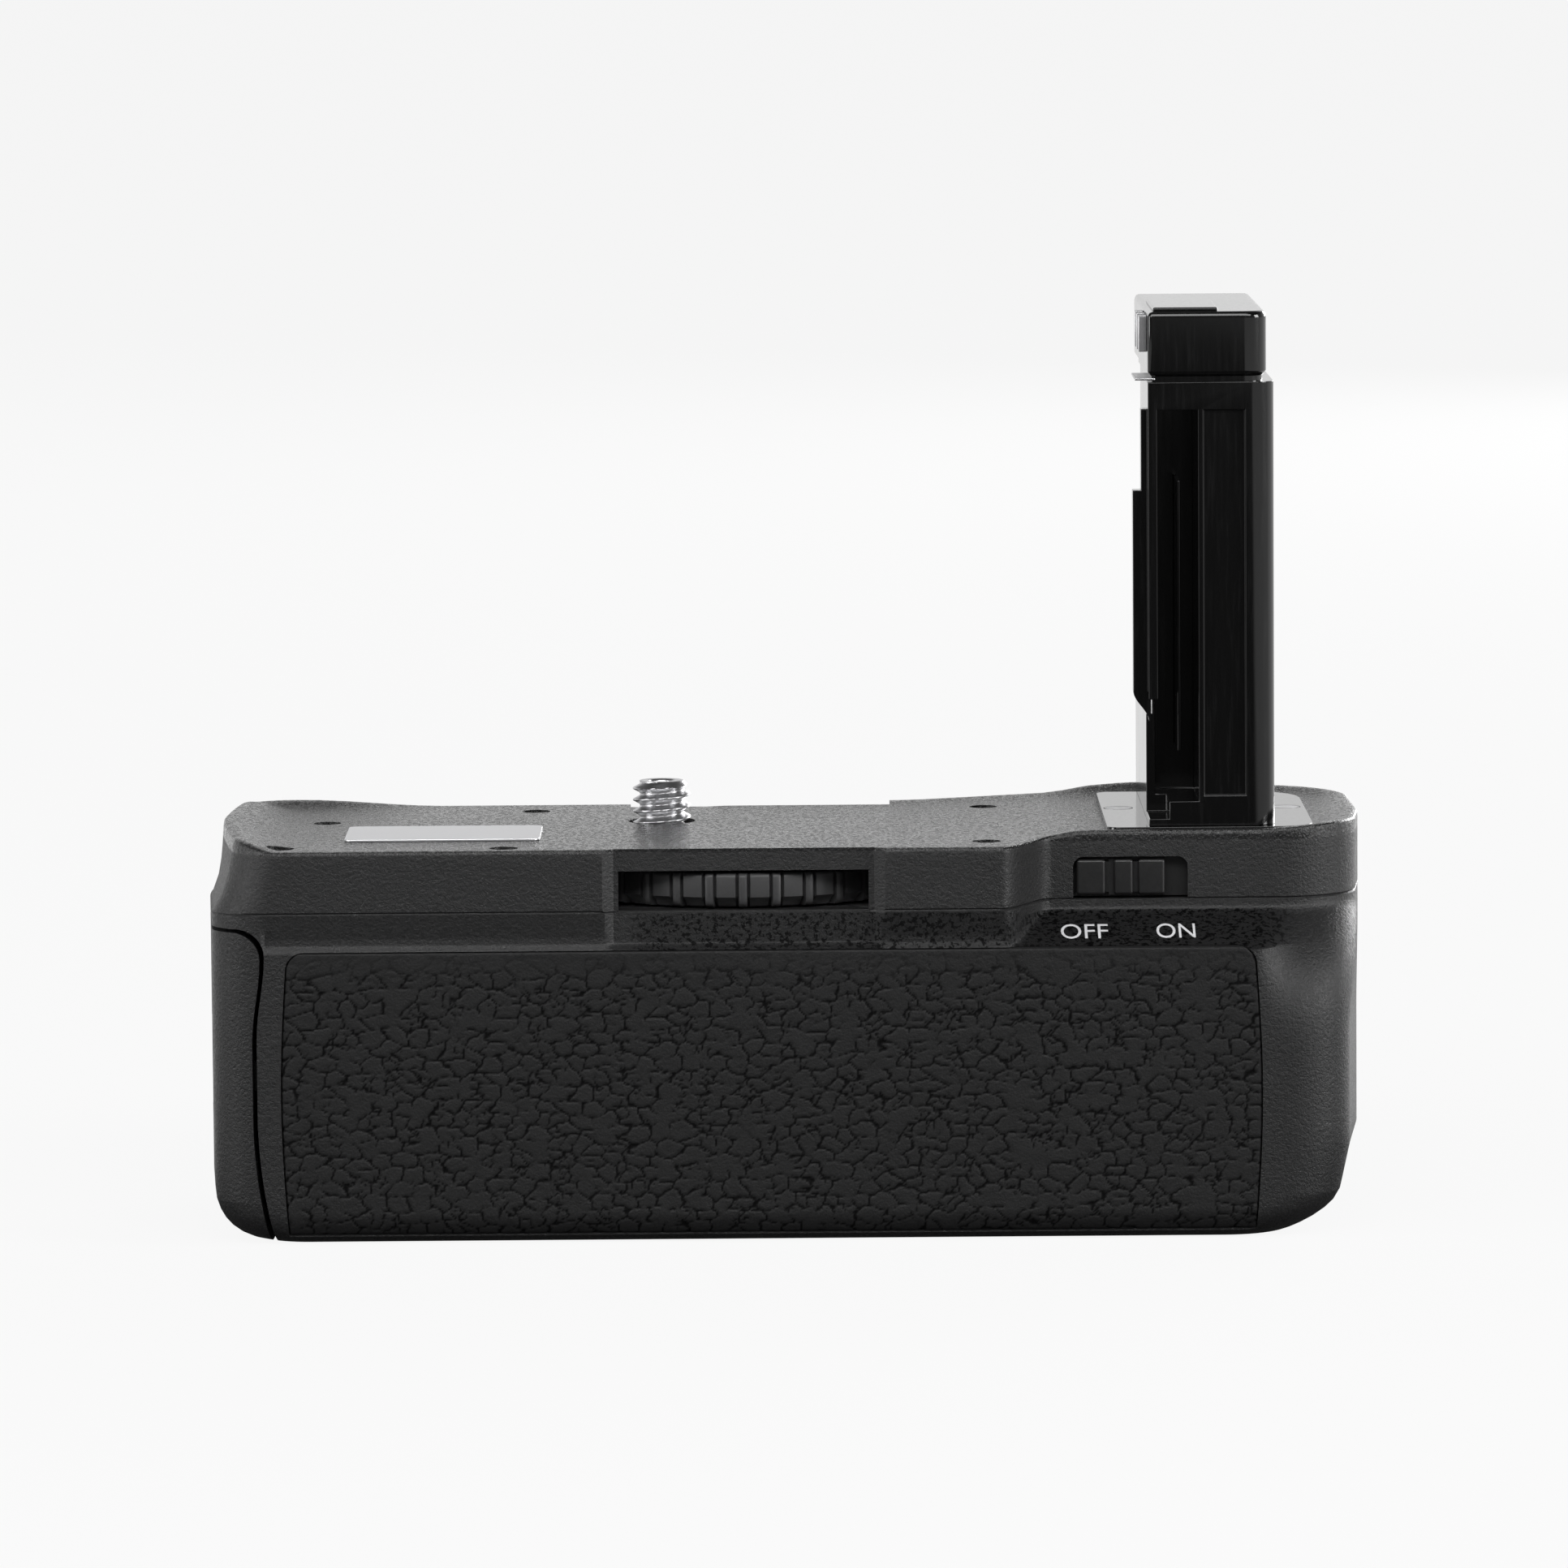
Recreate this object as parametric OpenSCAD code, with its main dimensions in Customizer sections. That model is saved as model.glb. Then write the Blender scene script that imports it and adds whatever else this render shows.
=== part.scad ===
// Battery grip for a small camera: two flat batteries in the body, a dummy-battery post on top.
// Origin at the middle of the base. +X to the right seen from the rear, +Y to the front, +Z up.

/* [Batteries] */
// Length of one battery
batt_l = 53; // [50:0.5:54]
// Width of one battery
batt_w = 38; // [36:0.5:42]
// Thickness of one battery
batt_t = 14; // [12:0.5:16]
// Play around each battery
batt_play = 0.5; // [0.3:0.1:0.8]

/* [Body] */
// Width over the two ends
body_w = 126; // [122:1:136]
// How far the hand-grip bulge stands out in front
bulge_d = 9.5; // [6:0.5:14]
// Set-back of the rear face around the switch
step_d = 8.8; // [7:0.2:10]
// Wall of the lower housing
wall = 2.75; // [2.4:0.05:3.2]
// Wall of the top cover
cover_wall = 2; // [1.6:0.1:2.4]
// Thickness of the camera plate
plate_t = 2; // [1.6:0.1:3]
// Thickness of the base
floor_t = 2; // [1.6:0.1:3]
// Wall of the battery tray
tray_t = 1; // [0.8:0.1:1.4]
// Thickness of the rubber grips
rubber_t = 1.2; // [0.8:0.1:1.5]
// Width of the facet at the lower right corner
facet_w = 8; // [7:0.5:10]
// Height of the facet at the lower right corner
facet_h = 9.6; // [8.5:0.2:12]
// Height of the rim around the hand-grip end of the plate
grip_lip = 1.4; // [0.6:0.1:2]
// Height of the rim at the battery end of the plate
end_lip = 1; // [0.3:0.1:1.2]

/* [Thumbwheel and camera screw] */
// Radius of the thumbwheel over its ribs
wheel_r = 20; // [18.5:0.25:20.5]
// Thickness of the thumbwheel
wheel_t = 3.7; // [3.2:0.1:4.5]
// Place of the wheel's axis along the body
wheel_x = -4.5; // [-7:0.5:-2]
// Number of ribs on the wheel
wheel_ribs = 34; // [24:1:40]
// Radius of the wheel's axle pin
axle_r = 1.5; // [1.2:0.1:2]
// Gear module
gear_m = 0.75; // [0.7:0.01:0.78]
// Teeth of the wheel's gear
wheel_teeth = 19; // [17:1:20]
// Teeth of the screw's pinion
screw_teeth = 13; // [12:1:14]
// Thread radius of the camera screw
screw_r = 3.175; // [2.5:0.05:3.2]
// Thread pitch of the camera screw
screw_pitch = 1.27; // [0.8:0.01:1.4]
// How far the camera screw stands above the plate
screw_out = 4.5; // [3.5:0.1:6]
// Shank radius of the camera screw
shank_r = 2.2; // [1.6:0.1:2.4]

/* [Switch] */
// Width of the switch window
window_w = 12.4; // [11.5:0.1:14]
// Width of the switch knob
knob_w = 9.6; // [8:0.1:10]
// Travel of the switch knob
knob_travel = 2.2; // [1.5:0.1:2.4]

/* [Door] */
// Gap around the battery door
door_gap = 0.35; // [0.25:0.05:0.5]
// Radius of the hinge pin
pin_r = 0.75; // [0.6:0.05:0.9]
// Radius of the hinge knuckles
knuckle_r = 1.7; // [1.5:0.05:2]
// Travel of the latch
latch_travel = 2.5; // [2.2:0.1:3]

/* [Post] */
// Width of the dummy-battery post
post_w = 13.7; // [13:0.1:15]
// Depth of the dummy-battery post
post_l = 38; // [36:0.5:39]
// Height of the post's shaft above its flange
shaft_h = 48.2; // [44:0.2:54]
// Height of the post's cap
cap_h = 7; // [6:0.2:8]
// Thickness of the post's flange
flange_t = 0.8; // [0.6:0.1:1.2]

/* [Release button and sockets] */
// Radius of the release button
button_r = 4; // [3.4:0.1:4.3]
// Travel of the release button
button_travel = 1; // [0.6:0.1:1.2]
// Radius of the release socket's bore
jack_r = 1.27; // [1.25:0.01:1.8]
// Thread radius of the tripod socket
tripod_r = 3.175; // [2.5:0.05:3.2]

/* [Fits] */
// Gap between pieces that are laid into each other
fit = 0.25; // [0.1:0.05:0.3]
// Radial clearance of a turning shaft
run_fit = 0.05; // [0.02:0.01:0.1]

/* [Hidden] */
$fn = 48;
eps = 1;

// Colours
shell_black = "#2e2f31";
rubber_black = "#222325";
gloss_black = "#101112";
steel = "#b9bbbd";
board_green = "#2c5a3c";
brass = "#b79a55";
label_grey = "#c6c7c8";

// Depths: the rear face is the datum, the bulge is the furthest point
body_d = batt_w + batt_play + 2 * (tray_t + fit + wall);
rear = -(body_d + bulge_d) / 2;
front = rear + body_d;
mid_y = rear + body_d / 2;
left = -body_w / 2;
right = body_w / 2;

// Heights: tray, gear carrier, parting line, wheel and plate are stacked
slot_h = batt_t + batt_play;
slot_rib = 0.8;
tray_h = 2 * slot_h + 2 * tray_t + slot_rib;
tray_top = floor_t + tray_h;
head_t = 0.8;
carrier_t = 1.1;
carrier_z = tray_top + fit + head_t;
seam_z = carrier_z + carrier_t + 0.05;
wheel_z = seam_z + 0.2;
wheel_top = wheel_z + wheel_t;
under_z = wheel_top + 0.8;
body_h = under_z + plate_t;

// Plan of the shells
end_bow = 1.5;
bow_r = 60;
end_taper = 1.4;
end_round = 6;
base_round = 3.5;
rear_end_r = 4;
front_end_r = 4.5;
thumb_r = 9;
grip_r = 12;
shoulder_r = 14;
shoulder_x = right - 27;
valley_in = 49;
valley_x = right - valley_in;
step_in = 30.2;
step_x = wheel_x + step_in;
step_lean = 1.1;
rim_edge = 0.3;
rim_crest = 0.45;
rim_foot = 4.6;
rear_foot = 2;
rim_root = 0.5;
arc_steps = 6;

// Scooped rest under the switch
scoop_h = 4.1;
scoop_dip = 0.6;
scoop_wall = 1.8;
scoop_z = seam_z - scoop_h;

// Rubber grips
front_rubber_lead = 6;
rear_rubber_x0 = left + 8.7;
rear_rubber_x1 = right - 11.8;
rubber_top = scoop_z - 0.1;
front_rubber_x0 = shoulder_x - front_rubber_lead;
front_rubber_z0 = 4;

// Tray and door
tray_x = left + 8;
tray_w = batt_w + batt_play + 2 * tray_t;
contact_room = 1.8;
tray_l = batt_l + contact_room + tray_t;
tray_y = mid_y - tray_w / 2;
door_top = seam_z - 2;
door_mid = 5.6;
door_foot = 7.4;
door_corner = 3;
pocket_x = left + 2.8;
pocket_in = 3.6;

// Door hinge, outside the front left corner
hinge_x = left + door_mid;
hinge_y = front + 1;
knuckle_z = [5, 10.4, 23.6, 29];
leaf_l = 3.6;

// Latch in the door
latch_z = 18;
thumb_y = rear + 11;
thumb_l = 7;
latch_plate_y = rear + 3.9;
bolt_x = left + 7;
bolt_t = 0.7;
keeper_x = bolt_x - 0.8;
keeper_t = 0.5;
keeper_h = 10;
notch_h = 3.8;
notch_y = rear + 0.9;
spring_wire = 0.25;
latch_spring_y = rear + 20;
latch_spring_l = 7.5;
latch_spring_x = pocket_x + 1.35;
latch_spring_r = 0.95;

// Screws that hold the cover, as [x, distance from the rear face]
cover_screws = [
    [left + 8.7, 3.8], [left + 12.6, 28.9], [wheel_x - 25.7, 2.8],
    [wheel_x - 23.1, body_d - 6.9], [wheel_x + 26.7, body_d - 5.6], [wheel_x + 26.3, 6]
];
tray_screw = 1;
cover_screw_r = 0.9;
cover_head_r = 1.4;
cover_hole_r = 1.55;
cover_boss_r = 2.6;
cover_head_z = seam_z + 2.2;
boss_h = 2.1;

// Gear pair: the pinion stands beside the wheel's axle, inside the wheel's rim
wheel_y = rear + wheel_r + 1;
wheel_pitch = gear_m * wheel_teeth / 2;
screw_pitch_r = gear_m * screw_teeth / 2;
gear_gap = wheel_pitch + screw_pitch_r;
mesh_angle = 138.6;
screw_x = wheel_x + gear_gap * cos(mesh_angle);
screw_y = wheel_y + gear_gap * sin(mesh_angle);
gear_backlash = 0.2;
rib_h = 0.6;
rim_t = 1.8;
web_t = 1;
pinion_z = wheel_z + web_t + 0.3;
pinion_t = wheel_top - pinion_z;
bush_r = 5;
bush_z = under_z - 0.3;
bush_top = body_h - 0.9;
shaft_hole_r = screw_r + 0.5;
carrier_dx = wheel_r - 2.5;
carrier_dy = wheel_r - 5;
carrier_boss_r = 2.2;
carrier_screw_r = 0.8;
carrier_head_r = 1.5;
wheel_zone_x0 = wheel_x - 15.5;
wheel_zone_x1 = wheel_x + 15.8;
wheel_zone_d = 1;
wheel_window_x0 = wheel_x - 13.5;
wheel_window_x1 = wheel_x + 13.8;
wheel_window_top = wheel_top + 0.25;

// Switch, set back from the rear face
switch_y = rear + step_d;
window_x = step_x + 5.5;
window_top = under_z - 0.1;
window_d = 1.3;
knob_x = window_x + 0.35;
knob_z = seam_z + 0.4;
knob_h = window_top - knob_z - 0.3;
knob_plate_t = 1;
knob_plate_margin = 2;
stem_w = 1.6;
stem_x = knob_x + 3.8;
stem_l = 3.2;
switch_w = 8.4;
switch_d = 5;
switch_gap = 1.9;

// Boards
board_t = 1.6;
board_x0 = step_x - 6.7;
board_x1 = right - 16;
board_y0 = switch_y + window_d + knob_plate_t + switch_gap;
board_y1 = front - 9;
board_z = seam_z - 3;
board_post_r = 2.2;
board_screw_r = 0.8;
board_post_in = 2.8;

// Post
flange_x0 = right - 28;
flange_x1 = right - 5.5;
flange_y0 = rear + step_d + 2.4;
flange_y1 = front + bulge_d - 8;
flange_left_r = 1.5;
flange_rear_r = 4;
flange_front_r = 7;
flange_top = body_h + flange_t;
post_x = right - 23.4;
post_y = flange_y0 + 0.8;
shaft_top = flange_top + shaft_h;
cap_z = shaft_top + 0.6;
spigot_in = 1.4;
spigot_z = under_z - 1.2;
post_screw_y = post_y + 0.5 * post_l;
post_screw_x = [flange_x0 + 1.9, flange_x1 - 2.1];
post_screw_r = 0.85;
post_head_r = 1.5;

// Release button, square to the facet
button_tilt = 180 - atan2(facet_h, facet_w);
button_in = 36;
button_y = rear + button_in;
button_at = [right - facet_w / 2, button_y, facet_h / 2];
barrel_r = button_r + 1.2;
button_cap_t = 1.6;
button_stem_r = 1.4;
button_stem_l = 2.2;
click_h = 2.4;
click_nub = 0.3;
barrel_floor = 1;
barrel_l = button_cap_t + button_stem_l + button_travel + 0.05 + click_nub + click_h + barrel_floor;

// Sockets
tripod_x = tray_x + tray_l + 10;
tripod_y = mid_y;
tripod_l = 8;
tripod_body_r = 5;
jack_x = tray_x + tray_l + 6;
jack_z = tray_top / 2;
jack_l = 11;
jack_body_r = 3;

// Label on the plate
label_x = left + 15.3;
label_y = rear + 9.8;
label_w = 21.2;
label_l = 13.5;
label_t = 0.25;

function unit(v) = v / norm(v);

function ease(t) = let (c = min(1, max(0, t))) c * c * (3 - 2 * c);

// Points of the round on one corner b between its neighbours a and c
function corner_arc(a, b, c, r) =
    let (
        u = unit(a - b),
        v = unit(c - b),
        half = acos(u * v) / 2,
        centre = b + unit(u + v) * r / sin(half),
        p0 = b + u * r / tan(half) - centre,
        p1 = b + v * r / tan(half) - centre,
        a0 = atan2(p0.y, p0.x),
        raw = atan2(p1.y, p1.x) - a0,
        turn = raw > 180 ? raw - 360 : raw < -180 ? raw + 360 : raw
    )
    [for (i = [0 : arc_steps]) centre + r * [cos(a0 + turn * i / arc_steps), sin(a0 + turn * i / arc_steps)]];

// Closed outline with a round on every corner, from corners given as [x, y, radius]
function round_path(corners) =
    let (n = len(corners), at = [for (c = corners) [c.x, c.y]])
    [for (i = [0 : n - 1]) each corner_arc(at[(i + n - 1) % n], at[i], at[(i + 1) % n], corners[i][2])];

function raise(path, z) = [for (p = path) [p.x, p.y, z]];

function round_in(z, r) = z < r ? r - sqrt(r * r - (r - z) * (r - z)) : 0;

function taper_in(z) = end_taper * max(0, z - seam_z) / (body_h - seam_z);

function left_x(z) = left + round_in(z, end_round) + taper_in(z);

function right_x(z) = right - facet_w * max(0, 1 - z / facet_h);

function rear_y(z) = rear + round_in(z, base_round);

function front_y(z) = front - round_in(z, base_round);

function soft(r, inset) = max(0.6, r - inset);

// Corners of the front and of the battery end, shared by both shells
function far_corners(z, inset) =
    let (
        l = left_x(z) + inset,
        y0 = rear_y(z) + inset,
        y1 = front_y(z) - inset,
        y2 = y1 + bulge_d
    )
    [
        [right_x(z) - inset, y2, soft(grip_r, inset)],
        [shoulder_x, y2, soft(shoulder_r, inset)],
        [valley_x, y1, shoulder_r + inset],
        [l + end_bow, y1, soft(front_end_r, inset)],
        [l - bow_r * (1 / cos(atan(2 * end_bow / (y1 - y0))) - 1), (y0 + y1) / 2, bow_r],
        [l + end_bow, y0, soft(rear_end_r, inset)]
    ];

function housing_path(z, inset) = round_path(concat(
    [[right_x(z) - inset, rear_y(z) + inset, soft(thumb_r, inset)]],
    far_corners(z, inset)
));

// The cover's rear face steps back towards the switch
function cover_path(z, inset) = round_path(concat(
    [
        [step_x - step_lean - inset, rear + inset, soft(2.5, inset)],
        [step_x + step_lean - inset, rear + step_d + inset, 3 + inset],
        [right_x(z) - inset, rear + step_d + inset, soft(thumb_r, inset)]
    ],
    far_corners(z, inset)
));

// Front face at one x, where it slopes out to the bulge
function front_line(x) = front + bulge_d * max(0, min(1, (x - valley_x) / (shoulder_x - valley_x)));

// Height of the rim around the hand-grip end over one point of the outline: low along the rear
function lip_h(p) =
    let (
        near = 0.32 * ease((p.x - step_x - 1) / 6) + 0.6 * ease((p.x - right + 13) / 12),
        far = 0.75 * ease((p.x - shoulder_x + 12) / 12),
        t = ease((p.y - rear - step_d - 7) / 32)
    )
    grip_lip * (near + (far - near) * t);

// Solid between rings of equally many points, listed from the bottom up
module loft(rings) {
    n = len(rings[0]);
    m = len(rings);
    sides = [
        for (j = [0 : m - 2], i = [0 : n - 1])
            let (a = j * n + i, b = j * n + (i + 1) % n)
            each [[a, a + n, b + n], [a, b + n, b]]
    ];
    base = [for (i = [0 : n - 1]) i];
    top = [for (i = [0 : n - 1]) m * n - 1 - i];
    polyhedron([for (r = rings) each r], concat([base], sides, [top]));
}

// Outer form of the lower housing and the door, drawn in by an inset
module housing_form(inset, z0, z1) {
    levels = concat([z0], [for (z = [0.35, 1, 2, 3.5, 6, facet_h, 16]) if (z > z0 && z < z1) z], [z1]);
    loft([for (z = levels) raise(housing_path(z, inset), z)]);
}

// Outer form of the top cover: the battery end leans in, and two rims stand on the plate
module cover_form() {
    lean = atan(end_taper / (body_h - seam_z));
    difference() {
        translate([0, 0, seam_z])
            linear_extrude(body_h - seam_z)
                polygon(cover_path(seam_z, 0));
        translate([left, rear - eps, seam_z])
            rotate([0, lean, 0])
                translate([-end_round, 0, -body_h])
                    cube([end_round, body_d + 2 * eps, 3 * body_h]);
    }
    grip_rim();
    end_rim();
}

// Section of a rim as [inset from the outline, height]
function rim_section(h, foot) = [
    [rim_edge, -rim_root], [foot, -rim_root], [foot, 0.02], [rim_crest * foot, h], [rim_edge, h]
];

// Rim around the hand-grip end, following the outline; it keeps clear of the post's flange
module grip_rim() {
    edge = cover_path(seam_z, 0);
    turn = arc_steps + 1;
    loft([
        for (i = [2 * turn - 1 : 6 * turn - 1])
            let (
                foot = rear_foot + (rim_foot - rear_foot) * ease((edge[i].y - rear - 18) / 10),
                h = max(0.05, lip_h(edge[i]))
            )
            [for (q = rim_section(h, foot))
                let (p = cover_path(seam_z, q[0])[i])
                [p.x, p.y, body_h + q[1]]]
    ]);
}

// Rim of the battery end: it rises along the front, goes round the end and fades at the rear corner
module end_rim() {
    x1 = wheel_zone_x0 + 2;
    x0 = cover_path(body_h, 0)[6 * (arc_steps + 1)].x;
    turn = arc_steps + 1;
    loft(concat(
        [for (t = [0, 0.15, 0.3, 0.6, 0.9])
            [for (q = rim_section(max(0.05, end_lip * ease(1.6 * t)), rim_foot))
                [x1 + (x0 - x1) * t, front - q[0], body_h + q[1]]]],
        [for (i = [6 * turn : 9 * turn - 1])
            let (h = max(0.05, end_lip * ease((9 * turn - 1 - i) / arc_steps)))
            [for (q = rim_section(h, rim_foot))
                let (p = cover_path(body_h, q[0])[i])
                [p.x, p.y, body_h + q[1]]]]
    ));
}

// Side view of the battery door, grown by the gap where the housing is cut for it
module door_side(grow) {
    x0 = left - 4;
    bend = left + door_mid + 0.9;
    translate([grow, grow])
        polygon(concat(
            [[x0, -4], [left + door_foot, -4], [left + door_foot, 0]],
            [[left + door_mid + 0.1, 0.33 * door_top], [left + door_mid, 0.7 * door_top]],
            [for (a = [0 : 15 : 90])
                [bend - door_corner + door_corner * cos(a), door_top - door_corner + door_corner * sin(a)]],
            [[x0, door_top]]
        ));
}

module door_zone(grow) {
    translate([0, front + 10, 0])
        rotate([90, 0, 0])
            linear_extrude(body_d + 20)
                door_side(grow);
}

// Block from one corner to the other
module block(a, b) {
    translate(a)
        cube(b - a);
}

module rod(at, r, h) {
    translate(at)
        cylinder(r = r, h = h);
}

// Wire wound about +Z from the origin
module coil(r, wire, turns, h) {
    steps = 12 * turns;
    loft([
        for (i = [0 : steps])
            let (a = 360 * turns * i / steps, z = wire + (h - 2 * wire) * i / steps)
            [for (t = [0 : 60 : 300])
                [(r + wire * cos(t)) * cos(a), (r + wire * cos(t)) * sin(a), z - wire * sin(t)]]
    ]);
}

// Half the angle of a tooth at radius r
function involute(a) = tan(a) * 180 / PI - a;

function tooth_half(r, teeth) =
    let (pitch = gear_m * teeth / 2, base = pitch * cos(20))
    90 / teeth - gear_backlash / pitch * 90 / PI + involute(20) - involute(acos(min(1, base / r)));

function gear_path(teeth) =
    let (
        pitch = gear_m * teeth / 2,
        foot = pitch - 1.15 * gear_m,
        start = max(foot, pitch * cos(20)),
        tip = pitch + 0.8 * gear_m,
        radii = concat([foot], [for (i = [0 : 3]) start + (tip - start) * i / 3])
    )
    [
        for (k = [0 : teeth - 1])
            each concat(
                [for (r = radii)
                    let (a = 360 * k / teeth - tooth_half(max(r, start), teeth))
                    r * [cos(a), sin(a)]],
                [for (i = [len(radii) - 1 : -1 : 0])
                    let (r = radii[i], a = 360 * k / teeth + tooth_half(max(r, start), teeth))
                    r * [cos(a), sin(a)]]
            )
    ];

function screw_place(s) = [s[0], rear + s[1]];

carrier_places = [for (sx = [-1, 1], sy = [-1, 1]) [wheel_x + sx * carrier_dx, wheel_y + sy * carrier_dy]];

board_places = [
    for (x = [board_x0 + board_post_in, board_x1 - board_post_in])
        for (y = [board_y0 + switch_d + board_post_in, board_y1 - board_post_in]) [x, y]
];

// Frame of the release button: +Z leaves the facet
module at_button() {
    translate(button_at)
        rotate([0, button_tilt, 0])
            children();
}

module lower_housing() {
    color(shell_black)
        difference() {
            union() {
                difference() {
                    housing_form(0, 0, seam_z);
                    difference() {
                        housing_form(wall, floor_t, seam_z + eps);
                        scoop_cut(cover_wall, scoop_wall);
                    }
                }
                housing_bosses();
                housing_knuckles();
            }
            housing_cuts();
        }
}

// Bosses for the cover screws, the board and the tripod socket
module housing_bosses() {
    for (i = [0 : len(cover_screws) - 1])
        if (i != tray_screw) {
            p = screw_place(cover_screws[i]);
            wall_y = p.y < mid_y ? rear + 1 : front_line(p.x) - 1.6;
            rod([p.x, p.y, seam_z - boss_h], cover_boss_r, boss_h);
            block(
                [p.x - cover_boss_r, min(p.y, wall_y), seam_z - boss_h],
                [p.x + cover_boss_r, max(p.y, wall_y), seam_z]
            );
        }
    for (p = board_places)
        rod([p.x, p.y, floor_t - 0.5], board_post_r, board_z - floor_t + 0.5);
    rod([tripod_x, tripod_y, floor_t - 0.5], tripod_body_r + 1.6, tripod_l - floor_t);
}

module housing_knuckles() {
    for (z = [[knuckle_z[0], knuckle_z[1] - door_gap], [knuckle_z[2] + door_gap, knuckle_z[3]]]) {
        rod([hinge_x, hinge_y, z[0]], knuckle_r, z[1] - z[0]);
        block([hinge_x, front - 1, z[0]], [hinge_x + leaf_l, hinge_y + 0.7, z[1]]);
    }
}

module housing_cuts() {
    difference() {
        door_zone(door_gap);
        for (z = [[knuckle_z[0], knuckle_z[1] - door_gap], [knuckle_z[2] + door_gap, knuckle_z[3]]])
            rod([hinge_x, hinge_y, z[0]], knuckle_r, z[1] - z[0]);
    }
    scoop_cut(0, 0);
    block(
        [rear_rubber_x0 - fit / 2, rear - eps, -eps],
        [rear_rubber_x1 + fit / 2, rear + rubber_t, rubber_top + fit / 2]
    );
    block(
        [front_rubber_x0, front + bulge_d - rubber_t, front_rubber_z0],
        [right, front + bulge_d + eps, rubber_top]
    );
    for (i = [0 : len(cover_screws) - 1]) {
        p = screw_place(cover_screws[i]);
        rod([p.x, p.y, seam_z - boss_h - eps], cover_screw_r + 0.02, boss_h + 2 * eps);
    }
    for (p = board_places)
        rod([p.x, p.y, board_z - 5], board_screw_r + 0.02, 5 + eps);
    rod([tripod_x, tripod_y, -eps], tripod_body_r, tripod_l + 2 * eps);
    translate([jack_x, front - wall - eps, jack_z])
        rotate([-90, 0, 0])
            cylinder(r = jack_body_r + 0.05, h = wall + bulge_d + 2 * eps);
    at_button()
        translate([0, 0, -barrel_l])
            cylinder(r = barrel_r + 0.05, h = barrel_l + 3);
    rod([hinge_x, hinge_y, knuckle_z[0] - eps], pin_r, knuckle_z[3] - knuckle_z[0] + 2 * eps);
    rod([hinge_x, hinge_y, knuckle_z[1] - door_gap], knuckle_r + door_gap,
        knuckle_z[2] - knuckle_z[1] + 2 * door_gap);
    block([left, notch_y, latch_z - notch_h / 2], [tray_x + 1, tray_y, latch_z + notch_h / 2]);
    block(
        [keeper_x, notch_y, latch_z - keeper_h / 2],
        [keeper_x + keeper_t, tray_y, latch_z + keeper_h / 2]
    );
}

// Space of the scooped rest: outside the cover's outline, above a floor that falls slightly inwards
module scoop_cut(inset, drop) {
    depth = 2 * step_d + 4;
    difference() {
        translate([step_x - 8, rear, scoop_z - drop])
            rotate([90, 0, 90])
                linear_extrude(right - step_x + 12)
                    polygon([[-eps, 0], [depth, -scoop_dip], [depth, 8], [-eps, 8]]);
        translate([0, 0, scoop_z - drop - eps])
            linear_extrude(20)
                polygon(cover_path(seam_z, inset));
    }
}

module top_cover() {
    color(shell_black)
        difference() {
            union() {
                difference() {
                    cover_form();
                    translate([0, 0, seam_z - eps])
                        linear_extrude(under_z - seam_z + eps)
                            polygon(cover_path(body_h, cover_wall));
                }
                for (s = cover_screws) {
                    p = screw_place(s);
                    rod([p.x, p.y, seam_z], cover_boss_r, under_z - seam_z + 0.5);
                }
                for (p = carrier_places)
                    rod([p.x, p.y, seam_z - 0.05], carrier_boss_r, under_z - seam_z + 0.5);
            }
            cover_cuts();
        }
}

module cover_cuts() {
    for (s = cover_screws) {
        p = screw_place(s);
        rod([p.x, p.y, cover_head_z], cover_hole_r, body_h);
        rod([p.x, p.y, seam_z - eps], cover_screw_r + 0.1, 5);
    }
    for (p = carrier_places)
        rod([p.x, p.y, seam_z - 2], carrier_screw_r + 0.02, under_z - seam_z + 1.4);
    block([wheel_zone_x0, rear - eps, seam_z - eps], [wheel_zone_x1, rear + wheel_zone_d, body_h + 3]);
    block(
        [wheel_window_x0, rear, seam_z - eps],
        [wheel_window_x1, rear + cover_wall + eps, wheel_window_top]
    );
    rod([screw_x, screw_y, under_z - eps], bush_r + 0.02, bush_top - under_z + eps);
    rod([screw_x, screw_y, bush_top - eps], shaft_hole_r, plate_t + eps);
    rod([wheel_x, wheel_y, under_z - eps], axle_r, eps + 1);
    block(
        [window_x, switch_y - eps, seam_z - eps],
        [window_x + window_w, switch_y + window_d + eps, window_top]
    );
    block(
        [window_x - 2.6, switch_y + window_d, seam_z - eps],
        [window_x + window_w + 4.6, switch_y + cover_wall + eps, under_z]
    );
    block(
        [post_x + spigot_in - 0.1, post_y + spigot_in - 0.1, under_z - eps],
        [post_x + post_w - spigot_in + 0.1, post_y + post_l - spigot_in + 0.1, body_h + eps]
    );
    for (x = post_screw_x)
        rod([x, post_screw_y, under_z - eps], post_screw_r + 0.02, plate_t + 2 * eps);
}

module rear_rubber_grip() {
    color(rubber_black)
        intersection() {
            housing_form(0, 0, seam_z);
            block([rear_rubber_x0, rear - eps, -eps], [rear_rubber_x1, rear + rubber_t, rubber_top]);
        }
}

module front_rubber_grip() {
    color(rubber_black)
        intersection() {
            housing_form(0, 0, seam_z);
            block(
                [front_rubber_x0, front + bulge_d - rubber_t, front_rubber_z0 + fit / 2],
                [right, front + bulge_d + eps, rubber_top - fit / 2]
            );
        }
}

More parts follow.
